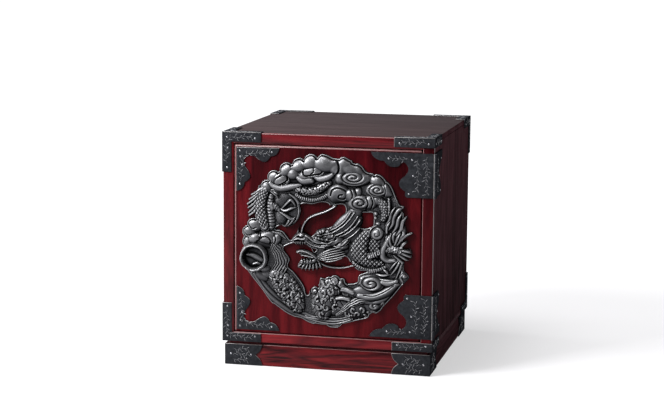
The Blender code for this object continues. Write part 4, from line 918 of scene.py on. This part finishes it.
def draw_head_top(u, v):
    """Horns, skull, crown, brows, eyes and ear."""
    horn_root = highest(plain(u, v, [(12, 13, 9), (30, 27, 15), (44, 41, 14), (52, 54, 10)], 0.56, 0.3),
                        lobes(u, v, [(42, 18, 18, 20, 0.50), (50, 38, 12, 15, 0.46)]))
    horn_root = np.where(horn_root > 0.6, wired(horn_root, u, v, HORN_LINES, 1.5, 3.0), horn_root)
    skull = lobes(u, v, [(16, 2, 17, 12, 0.70), (0, -4, 15, 10, 0.64), (-14, 0, 13, 9, 0.62),
                         (27, -6, 13, 9, 0.66), (8, 10, 11, 8, 0.80)])
    skull = scored(skull, u, v, [[(-10, 3), (0, 0), (10, 1), (19, 6)], [(2, -9), (13, -7), (24, 0)],
                                 [(12, -13), (23, -10), (33, -3)], [(-18, -3), (-8, -5), (2, -4)]], 4.0, 1.7)
    crown = lobes(u, v, [(-9.5, 13, 8, 7.5, 0.84), (-3, 18, 6.5, 5, 0.86), (4.5, 17.5, 5.5, 4.5, 0.88)])
    crown = scored(crown, u, v, [[(-6, 12), (-12, 13), (-17, 13)], [(-6, 12), (-10, 16), (-13, 20)],
                                 [(-6, 12), (-5, 17), (-6, 22)], [(-6, 12), (-1, 16), (2, 21)]], 2.8, 1.2)
    brow = highest(plain(u, v, [(-22, 6, 1.4), (-16, 6.5, 2.8), (-9, 5.5, 3.2), (-3, 3.5, 2)], 0.82, 0.4),
                   plain(u, v, [(-4, 12, 1), (3, 14, 1.9), (11, 16, 1.2)], 0.96, 0.4),
                   plain(u, v, [(-3, 8, 1), (3, 10.5, 1.7), (9, 9.5, 1)], 0.86, 0.4),
                   plain(u, v, [(2, -4, 1), (8, -1, 1.9), (14, 2, 1.9), (19, 2, 1)], 0.84, 0.4))
    brow = scored(brow, u, v, [[(-18, 9), (-17, 3)], [(-13, 9), (-12, 2)], [(-8, 8), (-7, 2)]], 2.6, 1.1)
    eye = lobe(u, v, 3.5, 4.5, 6.5, 5.2, 0.76)
    eye = cut(eye, 4.4 * np.clip(1.0 - np.abs(np.hypot(u - 3.5, v - 4.5) - 3.3) / 1.3, 0.0, 1.0))
    lid = scored(lobe(u, v, 14, 10, 6.5, 5.5, 0.86), u, v, [[(15, 14), (15, 10), (12.5, 6)]], 4.4, 1.4)
    ear = rounded_by(lobe(u, v, 33, 0, 13, 5.5, 0.86, 42), u, v, [(29, -4), (38, 5)], 2.4, 3.0)
    return highest(horn_root, skull, crown, brow, eye, lid, ear)


def draw_snout(u, v):
    """Bridge, nose and upper teeth."""
    bridge = plain(u, v, [(-38, 5, 7), (-30, 3, 6.8), (-21, -2, 7), (-11, -5, 6.6), (2, -7, 6)], 0.54, 0.3)
    bridge = scored(bridge, u, v, [[(-32, 5), (-24, 0), (-16, -4), (-5, -5.2)]], 4.6, 1.8)
    bridge = wired(bridge, u, v, [[(-34, 10), (-27, 6), (-20, 1.2), (-13, -1.6), (-4, -2)],
                                  [(-32, -1), (-26, -5), (-19, -8), (-10, -9.4), (-1, -10)]], 1.5, 2.8)
    nose = highest(plain(u, v, [(-54, 0, 4.6), (-47, 4, 8), (-40, 5, 9), (-33, 3, 7)], 0.72, 0.3),
                   lobe(u, v, -40.5, 8.5, 7, 5.5, 0.84))
    nose = scored(nose, u, v, [[(-47, 7.5), (-42, 6.5), (-37, 7)], [(-51, -0.5), (-44, 0.5), (-35, -1)]],
                  4.8, 1.7)
    nose = wired(nose, u, v, [[(-56, 1.5), (-49, 8), (-42, 13.5), (-36, 10.5)],
                              [(-52, 2), (-46, 4), (-39, 3), (-34, 4)],
                              [(-55, -3), (-47, -3.6), (-38, -4.4)]], 1.4, 2.2)
    teeth = ridges(u, v, [[(place, -2, 1.8), (place - 0.6, -7, 0.7)]
                          for place in (-50, -46, -42, -38, -34)], 0.56)
    return highest(bridge, nose, teeth)


def draw_jaw(u, v):
    """Mane of the cheek, lower jaw, beard and whiskers."""
    mane = ridges(u, v, [
        [(-15, -27, 0.8), (-5, -19, 2), (10, -12, 2.2), (26, -9, 1)],
        [(-15, -28, 0.8), (-4, -21.5, 2), (12, -15.5, 2.2), (29, -12, 1)],
        [(-14, -29, 0.8), (-2, -24, 2), (14, -19, 2.2), (31, -15, 1)],
        [(-13, -30, 0.8), (1, -26.5, 2), (17, -22.5, 2.2), (33, -18, 1)],
        [(-11, -31, 0.8), (5, -29, 2), (20, -26, 2.2), (34, -21, 1)],
        [(-3, -33, 0.8), (9, -32, 1.8), (20, -29, 1.8), (30, -25, 1)],
        [(12, -5, 1), (22, -8, 2.2), (34, -7, 1)]], 0.68, 0.4)
    cheek = lobe(u, v, 18, -16, 22, 12, 0.40, 12)
    prongs = ridges(u, v, [[(-47, -19, 3), (-41, -17, 2.4), (-30, -19, 2.6), (-20, -24, 2.6),
                            (-15, -28, 2.2)],
                           [(-40, -24, 1.4), (-30, -25, 1.8), (-20, -27, 1.8)]], 0.70, 0.3)
    chin = plain(u, v, [(-16, -29, 4), (-20, -34, 5), (-30, -37, 5), (-41, -38, 3)], 0.44)
    beard = ridges(u, v, [
        [(-41, -31, 0.8), (-38, -35, 1.8)], [(-36, -30, 0.8), (-34, -35, 1.8)],
        [(-31, -30, 0.8), (-29, -34, 1.8)], [(-26, -29, 0.8), (-24, -33, 1.8)],
        [(-40, -39, 1.8), (-44, -42, 2), (-46, -46, 0.8)],
        [(-35, -40, 1.8), (-38, -44, 2.2), (-40, -49, 0.8)],
        [(-30, -40, 1.8), (-32, -45, 2.2), (-34, -50, 0.8)],
        [(-25, -40, 1.8), (-26, -45, 2.2), (-28, -50, 0.8)],
        [(-20, -39, 1.8), (-20, -44, 2.2), (-21, -49, 0.8)],
        [(-15, -37, 1.8), (-14, -42, 2.2), (-14, -48, 0.8)],
        [(-10, -36, 1.4), (-8, -40, 1.8), (-7, -45, 0.8)]], 0.68, 0.6)
    whiskers = highest(plain(u, v, [(-41, 12, 1.8), (-39, 22, 1.9), (-34, 32, 2.1), (-27, 39, 2.3),
                                    (-17, 44, 2.5), (-3, 49, 2.6), (7, 54, 2.6), (16, 60, 2.4)], 0.50, 0.3),
                       plain(u, v, [(-16, -29, 1.4), (-9, -36, 1.6), (2, -41, 1.6), (17, -43, 1.6),
                                    (32, -42, 1.6), (47, -38, 1.6)], 0.36, 0.3),
                       plain(u, v, [(-29, -3, 0.9), (-23, -14, 0.9), (-16, -28, 0.9)], 0.22, 0.3))
    return highest(mane, cheek, prongs, chin, beard, whiskers)


def draw_dragon_head(u, v):
    return highest(draw_head_top(u, v), draw_snout(u, v), draw_jaw(u, v))


def draw_water_fall(u, v):
    fall = strands(u, v, [(-87, -10, 10), (-78, -24, 13), (-74, -37, 14), (-79, -50, 13), (-88, -60, 10)],
                   0.66, 6, 3.6, 0.4, 0.16)
    return highest(fall, lobes(u, v, [(-98, -60, 14, 8, 0.36), (-103, -52, 9, 7, 0.32)]))


def draw_wave_lower_left(u, v):
    rock = plain(u, v, [(-86, -60, 12), (-71, -76, 20), (-57, -95, 20), (-47, -112, 13)], 0.90)
    rock = cut(rock, 3.6 * (1.0 - tangle(u, v, 8.5)))
    rock = np.where(rock > 1.0, wired(rock, u, v, hooks(ROCK_HOOKS), 1.9, 3.0), rock)
    band = strands(u, v, [(-122, -60, 9), (-108, -83, 11), (-90, -101, 12), (-66, -117, 13), (-42, -128, 11),
                          (-18, -134, 7)], 0.34, 3, 2.4, 0.2)
    return highest(rock, band, lobe(u, v, -111, -64, 14, 8, 0.34, -30))


def draw_wave_crest(u, v):
    rock = highest(plain(u, v, [(12, -70, 17), (4, -84, 23), (-3, -104, 22), (-4, -122, 14)], 0.80),
                   plain(u, v, [(2, -108, 18), (22, -106, 18), (34, -102, 11)], 0.56))
    crown = rolls(u, v, [(-16, -83, 7, 7, 8, 0.50), (-6, -71, 9, 8, 9, 0.60), (6, -67, 9, 8, 9, 0.66),
                         (17, -66, 10, 9, 9, 0.70), (28, -70, 9, 8, 9, 0.62)])
    rock = cut(highest(rock, crown), 2.6 * (1.0 - tangle(u + 4.0, v, 8.5)))
    rock = np.where(rock > 1.0, wired(rock, u, v, hooks(CREST_HOOKS), 2.1, 3.0), rock)
    paws = ridges(u, v, [[(26, -78, 4.2), (36, -79, 4.6), (47, -83, 4.6)],
                         [(21, -94, 4.6), (31, -93, 4.8), (41, -95, 4.2)]], 0.90, 0.3)
    spray = strands(u, v, [(-32, -130, 5), (-10, -134, 8), (16, -136, 9), (42, -129, 6)], 0.40, 4, 2.6, 0.3)
    return highest(rock, spray, paws)


CUP_U, CUP_V = -121.6, -31.4
LIP_RADIUS = 21.2
CUP_EDGE = 24.1


def draw_pull_cup(u, v):
    """A thick hammered lip round a dished floor with a low wave beaten into it."""
    off_u, off_v = u - CUP_U, v - CUP_V
    round_by = np.arctan2(off_v, off_u)
    off = np.hypot(off_u, off_v) + 0.25 * np.sin(5.0 * round_by + 0.7) + 0.15 * np.sin(11.0 * round_by)
    half = np.where(off > LIP_RADIUS, 2.9, 4.4)
    lip = CUP_RISE * np.sqrt(np.clip(1.0 - ((off - LIP_RADIUS) / half) ** 2, 0.0, None))
    notch = np.clip(np.sin(13.0 * round_by), 0.0, 1.0) * np.clip(-off_v / 14.0 - 0.6, 0.0, 1.0)
    lip = lip - 2.4 * notch * np.clip(1.0 - np.abs(off - 22.0) / 3.0, 0.0, 1.0)
    dish = 2.2 + 1.4 * (np.clip(off, 0.0, 18.0) / 18.0) ** 2
    wave = plain(off_u, off_v, [(-12, 4, 3.5), (-4, 3, 5), (5, -1, 5.5), (15, -6, 3.5)], 0.34)
    swirl = plain(off_u, off_v, [(-2, -12, 2.4), (5, -10, 3), (10, -12, 2)], 0.24)
    inside = dish + np.clip(highest(wave, swirl), 0.0, None)
    return np.where(off < CUP_EDGE, np.maximum(lip, np.where(off < LIP_RADIUS, inside, 3.0)), CUP_EDGE - off)


# The pierced plate under the figures, and the edge that it shares with them

RING_EDGE = [
    (-14, 146), (0, 144), (13, 139), (28, 142), (40, 137), (59, 128), (68, 118), (90, 114), (100, 105),
    (109, 96), (117, 78), (123, 66), (131, 63), (127, 56), (136, 47), (133, 36), (135, 24), (146, 20),
    (136, 11), (138, 1), (144, -12), (143, -23), (132, -30), (132, -43), (140, -54), (127, -70), (114, -87),
    (98, -105), (92, -113), (73, -125), (51, -132), (39, -140), (21, -145), (-1, -144), (-16, -142),
    (-30, -138), (-42, -132), (-54, -130), (-66, -125), (-78, -118), (-92, -109), (-102, -97), (-110, -86),
    (-129, -63), (-143, -43), (-146, -32), (-145, -19), (-146, -6), (-142, 3), (-146, 11), (-144, 22),
    (-133, 34), (-136, 46), (-137, 60), (-130, 77), (-117, 88), (-106, 104), (-100, 113), (-82, 127),
    (-60, 134), (-44, 139), (-34, 144), (-24, 146)]
UNDER_CLAW = [
    (-45, 59), (-43, 49), (-48, 34), (-58, 24), (-70, 21), (-77, 24), (-87, 17), (-74, 14), (-66, 5),
    (-60, -1), (-53, 6), (-49, 15), (-45, 25), (-38, 35), (-26, 43), (-9, 50), (5, 59), (2, 64), (-9, 65),
    (-24, 61), (-36, 62)]
OVER_BROW = [
    (12, 58), (19, 62), (30, 62), (33, 51), (23, 38), (7, 24), (-4, 22), (-16, 16), (-21, 10), (-29, 6),
    (-36, 10), (-41, 15), (-38, 25), (-29, 36), (-14, 44), (1, 51)]
BEHIND_HORNS = [(58, 49), (71, 51), (79, 50), (80, 39), (79, 30), (69, 25), (59, 26), (56, 38)]
BELOW_MOUTH = [
    (-58, -6), (-48, -7), (-36, -6), (-26, -12), (-16, -15), (-26, -22), (-38, -20), (-49, -17), (-50, -21),
    (-36, -26), (-26, -29), (-42, -33), (-48, -45), (-34, -48), (-16, -46), (-1, -43), (19, -46), (44, -40),
    (55, -46), (71, -47), (56, -54), (53, -66), (35, -69), (31, -60), (19, -56), (10, -54), (-8, -60),
    (-12, -73), (-25, -79), (-29, -91), (-34, -90), (-38, -76), (-54, -55), (-65, -45), (-62, -32),
    (-73, -15)]
UNDER_CHEEK = [(-7, -35), (7, -29), (21, -29), (34, -24), (40, -34), (23, -39), (5, -38)]
WHISKER_STRIPS = [[(-40, 17), (-39, 22), (-34, 32), (-27, 39), (-17, 44), (-3, 49), (7, 54)],
                  [(-6, -38), (2, -41), (17, -43), (32, -42), (43, -39)]]
BACK_LINE = [(-101, 92), (-108, 67), (-110, 52), (-107, 30)]
CLOUD_SCALLOPS = [(-101, 88, 11), (-89, 104, 11.5), (-67.5, 117.5, 12), (-46, 125.5, 12), (-26, 132, 12.6),
                  (-2, 131, 15.5), (31, 128, 14), (57, 120, 13), (88, 103, 13), (104, 91, 12.5),
                  (112, 76, 12)]
LEFT_SCALLOPS = [(-124, 22.5, 11.5), (-132, 10.5, 11.5), (-131, -6, 12.5), (CUP_U, CUP_V, 25.5)]
CREST_SCALLOPS = [(-18, -84, 7), (-6, -70, 8.5), (6, -67, 8), (16, -65, 9), (28, -69, 8.5), (34, -80, 10),
                  (8, -92, 24)]
BOTTOM_SCALLOPS = [(-88, -96, 14), (-60, -116, 14), (-28, -126, 17), (14, -128, 18), (58, -116, 17),
                   (86, -103, 14), (104, -86, 14)]
OUTLINE_STEPS = 4


def within(u, v, outline):
    """Distance to a closed outline, above zero inside it."""
    line = through([outline[-1], *outline, outline[0], outline[1]], OUTLINE_STEPS)
    line = line[OUTLINE_STEPS:-2 * OUTLINE_STEPS + 1]
    nearest = np.full(u.shape, FAR)
    inside = np.zeros(u.shape, bool)
    for (u0, v0), (u1, v1), _, off_u, off_v in legs(u, v, line + line[:1]):
        nearest = np.minimum(nearest, np.hypot(off_u, off_v))
        if abs(v1 - v0) > 1e-9:
            inside ^= ((v0 > v) != (v1 > v)) & (u < u0 + (v - v0) * (u1 - u0) / (v1 - v0))
    return np.where(inside, nearest, -nearest)


def plate_edge(u, v):
    """Distance to the nearest edge of the pierced plate, above zero on it."""
    edge = within(u, v, RING_EDGE)
    for hole in (UNDER_CLAW, OVER_BROW, BEHIND_HORNS, BELOW_MOUTH, UNDER_CHEEK):
        edge = np.minimum(edge, -within(u, v, hole))
    return edge


def scalloped(u, v, rounds):
    return highest(*(radius - np.hypot(u - at_u, v - at_v) for at_u, at_v, radius in rounds))


def along_lines(u, v, lines, half):
    return half - np.minimum.reduce([away(u, v, [point[:2] for point in line]) for line in lines])


def trimmed_edge(u, v, edge):
    """The plate's edge drawn in between the lobes of the clouds, the spines and the tongues of flame."""
    from_middle = np.hypot(u, v)
    left_bed = u + 130.0 - 0.4 * np.clip(v - 10.0, 0.0, None)
    for zone, form in (
            ((v > 90.0) | ((v > 70.0) & (u > 60.0)),
             highest(139.5 - from_middle, scalloped(u, v, CLOUD_SCALLOPS))),
            ((u < -112.0) & (v > -30.0) & (v < 35.0), highest(left_bed, scalloped(u, v, LEFT_SCALLOPS))),
            ((u < -100.0) & (v > 34.5) & (v < 90.0),
             highest(13.0 - away(u, v, BACK_LINE), along_lines(u, v, SPINES, 2.0))),
            ((u > 112.0) & (v > -6.0) & (v < 70.0), highest(130.0 - u, along_lines(u, v, TONGUES, 2.4))),
            ((u > 112.0) & (v > -32.0) & (v <= -6.0), highest(128.0 - u, along_lines(u, v, FEATHERS, 2.6))),
            ((v < -98.0) & (np.abs(u) < 100.0),
             highest(141.0 - from_middle, scalloped(u, v, BOTTOM_SCALLOPS))),
            ((np.abs(u - 6.0) < 32.0) & (v < -50.0) & (v > -90.0), scalloped(u, v, CREST_SCALLOPS))):
        edge = np.where(zone, np.minimum(edge, form), edge)
    return edge


def draw_ring_plate(u, v):
    edge = trimmed_edge(u, v, plate_edge(u, v))
    for strip in WHISKER_STRIPS:
        beside = away(u, v, strip)
        edge = np.where(beside < 6.5, np.minimum(edge, 1.3 - beside), edge)
    bead = 1.8 * np.sqrt(np.clip(1.0 - ((edge - 1.2) / 1.2) ** 2, 0.0, None))
    ground = 0.25 + 0.35 * knobs(u, v, 4.0, 3.0)
    return np.where(edge > 0.0, np.maximum(bead, np.where(edge > 2.6, ground, 0.1)), edge)


# Raising the drawings into closed pieces

FIGURE_GRAIN = 0.5
PLATE_GRAIN = 0.8
PLATE_REACH = 150.0
EDGE_STEEPNESS = 5.4
MOST_SHIFT = 0.9


def soften(field, reach):
    """The field averaged over a square of that many cells each way."""
    for axis in (0, 1):
        rows = np.moveaxis(field, axis, 0)
        padded = np.concatenate([np.repeat(rows[:1], reach + 1, 0), rows, np.repeat(rows[-1:], reach, 0)])
        total = np.cumsum(padded, 0)
        rows = (total[2 * reach + 1:] - total[:-2 * reach - 1]) / (2 * reach + 1)
        field = np.moveaxis(rows, 0, axis)
    return field


def whole_cells(inside):
    """Cells of the grid that have a corner inside, with cells that touch only at a corner filled in."""
    cells = inside[:-1, :-1] | inside[1:, :-1] | inside[:-1, 1:] | inside[1:, 1:]
    for _ in range(4):
        a, b = cells[:-1, :-1], cells[:-1, 1:]
        c, d = cells[1:, :-1], cells[1:, 1:]
        at_corner = (a & d & ~b & ~c) | (b & c & ~a & ~d)
        a |= at_corner
        b |= at_corner
    return cells


def kept_inside(height, u, v, margin):
    """A height eased down to the plate's edge, so that the bead round it stays in sight."""
    outer = plate_edge(u, v)
    edge = trimmed_edge(u, v, outer) - margin
    room = np.maximum(edge, 0.9 * (outer - margin))
    steep = EDGE_STEEPNESS * np.sqrt(np.clip(room, 1e-6, None))
    eased = height * steep / np.hypot(height, steep)
    return np.where((height > 0.0) & (edge > 0.0), eased, np.minimum(height, edge))


def rubbed_and_painted_light(lift, slope_u, slope_v):
    """How far each point is rubbed bright, from 0 in hollows to 1 on ridges, with painted shade darkening
    undersides and right-facing slopes and a faint painted highlight on upper and left-facing ones.
    """
    broad = lift - soften(soften(lift, 14), 8)
    rise = lift - soften(soften(lift, 6), 4)
    near = lift - soften(lift, 2)
    # Painted shade and light: slopes facing down or right are darkened, those facing up or left slightly
    # lightened.
    under = np.clip(slope_v - 0.4 * slope_u, -0.2, 1.6)
    depth = np.clip(lift, 0.0, FULL_RISE) / FULL_RISE - 0.5
    return np.clip(0.52 + 0.14 * depth + broad * 0.02 + rise * 0.08 + near * 0.36 - under * 0.40, 0.0, 1.0)


def relief(name, node, draw, low, high, grain, front, foot, margin=None):
    """A figure: a grid raised by its drawing, cut to its outline, walled down to its foot and closed."""
    columns = int((high[0] - low[0]) / grain) + 1
    rows = int((high[1] - low[1]) / grain) + 1
    bpy.ops.object.select_all(action="DESELECT")
    bpy.ops.mesh.primitive_grid_add(x_subdivisions=columns, y_subdivisions=rows, size=1.0)
    piece = bpy.context.object
    piece.name = name
    piece.data.name = name
    mesh = piece.data
    spots = np.empty(len(mesh.vertices) * 3)
    mesh.vertices.foreach_get("co", spots)
    spots = spots.reshape(rows + 1, columns + 1, 3)
    u = low[0] + (spots[:, :, 0] + 0.5) * (high[0] - low[0])
    v = low[1] + (spots[:, :, 1] + 0.5) * (high[1] - low[1])
    height = draw(u, v)
    if margin is not None:
        height = kept_inside(height, u, v, margin)
    inside = height > 0.0
    cells = whole_cells(inside)
    slope_v, slope_u = np.gradient(height, v[1, 0] - v[0, 0], u[0, 1] - u[0, 0])
    pitch = np.maximum(slope_u ** 2 + slope_v ** 2, 0.05)
    back = np.where(inside, 0.0, np.clip(-height / pitch, 0.0, None))
    most = grain * MOST_SHIFT
    lift = np.clip(height, 0.0, None)
    ridge = rubbed_and_painted_light(lift, np.where(inside, slope_u, 0.0), np.where(inside, slope_v, 0.0))
    spots[:, :, 0] = RING_X + (u + np.clip(back * slope_u, -most, most)) * MM
    spots[:, :, 1] = front - lift * MM
    spots[:, :, 2] = RING_Z + (v + np.clip(back * slope_v, -most, most)) * MM
    mesh.vertices.foreach_set("co", spots.ravel())
    # The attribute carries the rubbing of the ridges and the painted shade of the undersides to the beaten
    # iron finish.
    wear_and_painted_light = mesh.attributes.new("ridge", "FLOAT", "POINT")
    wear_and_painted_light.data.foreach_set("value", ridge.ravel().astype(np.float32))

    shape = bmesh.new()
    shape.from_mesh(mesh)
    spare = [face for face, kept in zip(shape.faces, cells.ravel()) if not kept]
    bmesh.ops.delete(shape, geom=spare, context="FACES")
    wall = bmesh.ops.extrude_edge_only(shape, edges=[edge for edge in shape.edges if edge.is_boundary])
    for corner in wall["geom"]:
        if isinstance(corner, bmesh.types.BMVert):
            corner.co.y = foot
    rim = [edge for edge in wall["geom"] if isinstance(edge, bmesh.types.BMEdge) and edge.is_boundary]
    bmesh.ops.triangle_fill(shape, use_beauty=False, edges=rim, normal=(0.0, 1.0, 0.0))
    bmesh.ops.recalc_face_normals(shape, faces=shape.faces)
    shape.to_mesh(mesh)
    shape.free()
    mesh.uv_layers.remove(mesh.uv_layers[0])
    mesh.materials.append(beaten_iron)
    bpy.ops.object.shade_smooth_by_angle(angle=math.radians(75))
    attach(piece, "door")
    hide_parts(node)


def drawing_reach(node, spare):
    """A node's box as low and high corners of the drawing, with room round it."""
    low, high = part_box(node)
    return (((low[0] - RING_X) / MM - spare, (low[2] - RING_Z) / MM - spare),
            ((high[0] - RING_X) / MM + spare, (high[2] - RING_Z) / MM + spare))


# Each figure's drawing, and how far it keeps inside the plate's edge
FIGURES = {
    "cloud_upper_left": (draw_cloud_upper_left, 3.4), "cloud_upper_middle": (draw_cloud_upper_middle, 3.4),
    "cloud_round": (draw_cloud_round, 2.6), "cloud_right": (draw_cloud_right, 3.4),
    "cloud_small": (draw_cloud_small, 2.6), "cloud_left": (draw_cloud_left, 3.4),
    "cloud_lower_right": (draw_cloud_lower_right, 2.6), "dragon_body_left": (draw_dragon_body_left, 0.6),
    "dragon_claw_left": (draw_dragon_claw_left, 0.8), "dragon_body_arch": (draw_dragon_body_arch, 1.8),
    "dragon_coil": (draw_dragon_coil, 1.6), "dragon_pearl": (draw_dragon_pearl, 0.6),
    "dragon_flames": (draw_dragon_flames, 0.6), "dragon_claw_right": (draw_dragon_claw_right, 0.8),
    "dragon_head": (draw_dragon_head, None), "water_fall": (draw_water_fall, 1.6),
    "wave_lower_left": (draw_wave_lower_left, 2.6), "wave_crest": (draw_wave_crest, 3.0)}
for figure, (drawing, margin) in FIGURES.items():
    relief(figure + "_beaten", figure, drawing, *drawing_reach(figure, 7.0), FIGURE_GRAIN, FIGURE_SEAT,
           FIGURE_FOOT, margin)
relief("ring_plate_beaten", "ring_plate", draw_ring_plate, (-PLATE_REACH, -PLATE_REACH),
       (PLATE_REACH, PLATE_REACH), PLATE_GRAIN, PLATE_FACE, PLATE_BACK)
relief("pull_cup_beaten", "pull_cup", draw_pull_cup, *drawing_reach("pull_cup", 2.0), FIGURE_GRAIN, CUP_SEAT,
       CUP_BACK)


# Floor, light and camera

WHITE = (1.0, 1.0, 1.0, 1.0)
FLOOR_GREY = (0.54, 0.535, 0.55, 1.0)
WORLD_GREY = (0.20, 0.20, 0.21, 1.0)
LIGHTS_AIM = (0.0, -0.1, 0.2)
CAMERA_PLACE = (0.664, -3.010, 0.730)
CAMERA_AIM = (-0.0263, -0.0347, 0.2565)
CAMERA_TILT = math.radians(0.403)


def floor_finish():
    """Pale floor that is white to the camera far from the chest and keeps its shadow near it."""
    material, tree, shader = new_finish("white_floor", 0.9, 0.1)
    shader.inputs["Base Color"].default_value = FLOOR_GREY
    place = add_node(tree, "TexCoord", {})
    apart = add_node(tree, "VectorMath", {0: place.outputs["Object"]}, operation="LENGTH")
    paler = spread(tree, apart.outputs["Value"], 0.54, 1.0, 0.5, 2.0, interpolation_type="SMOOTHSTEP")
    rays = add_node(tree, "LightPath", {})
    shown = sums(tree, "MAXIMUM", rays.outputs["Is Camera Ray"], rays.outputs["Is Glossy Ray"])
    shown = sums(tree, "MAXIMUM", shown, rays.outputs["Is Transmission Ray"])
    glow = add_node(tree, "Emission", {"Color": WHITE, "Strength": sums(tree, "MULTIPLY", shown, paler)})
    both = add_node(tree, "AddShader", {0: shader.outputs["BSDF"], 1: glow.outputs["Emission"]})
    tree.links.new(both.outputs["Shader"], tree.nodes["Material Output"].inputs["Surface"])
    return material


bpy.ops.object.select_all(action="DESELECT")
bpy.ops.mesh.primitive_plane_add(size=90.0, location=(0.0, 0.0, 0.0))
floor = bpy.context.object
floor.name = "floor"
floor.data.materials.append(floor_finish())

world = bpy.data.worlds.new("studio")
bpy.context.scene.world = world
world.use_nodes = True
world.node_tree.nodes["Background"].inputs["Color"].default_value = WORLD_GREY


def aimed(name, data, place, aim):
    """A lamp or camera that stands at a place and looks at a point."""
    stand = bpy.data.objects.new(name, data)
    bpy.context.scene.collection.objects.link(stand)
    stand.location = place
    stand.rotation_mode = "QUATERNION"
    stand.rotation_quaternion = (Vector(aim) - Vector(place)).to_track_quat("-Z", "Y")
    return stand


for name, place, width, height, power in (("key_light", (-2.1, -2.1, 2.1), 1.1, 1.1, 120.0),
                                          ("left_light", (-2.0, 0.2, 1.0), 1.2, 1.4, 26.0),
                                          ("over_light", (-0.5, -0.5, 2.3), 1.2, 1.2, 34.0)):
    lamp = bpy.data.lights.new(name, "AREA")
    lamp.shape = "RECTANGLE"
    lamp.size = width
    lamp.size_y = height
    lamp.energy = power
    aimed(name, lamp, place, LIGHTS_AIM)

lens = bpy.data.cameras.new("view")
lens.lens = 96.8
lens.sensor_width = 36.0
camera = aimed("view", lens, CAMERA_PLACE, CAMERA_AIM)
camera.rotation_quaternion = camera.rotation_quaternion @ Quaternion((0.0, 0.0, 1.0), CAMERA_TILT)
bpy.context.scene.camera = camera
bpy.context.scene.view_settings.view_transform = "Standard"
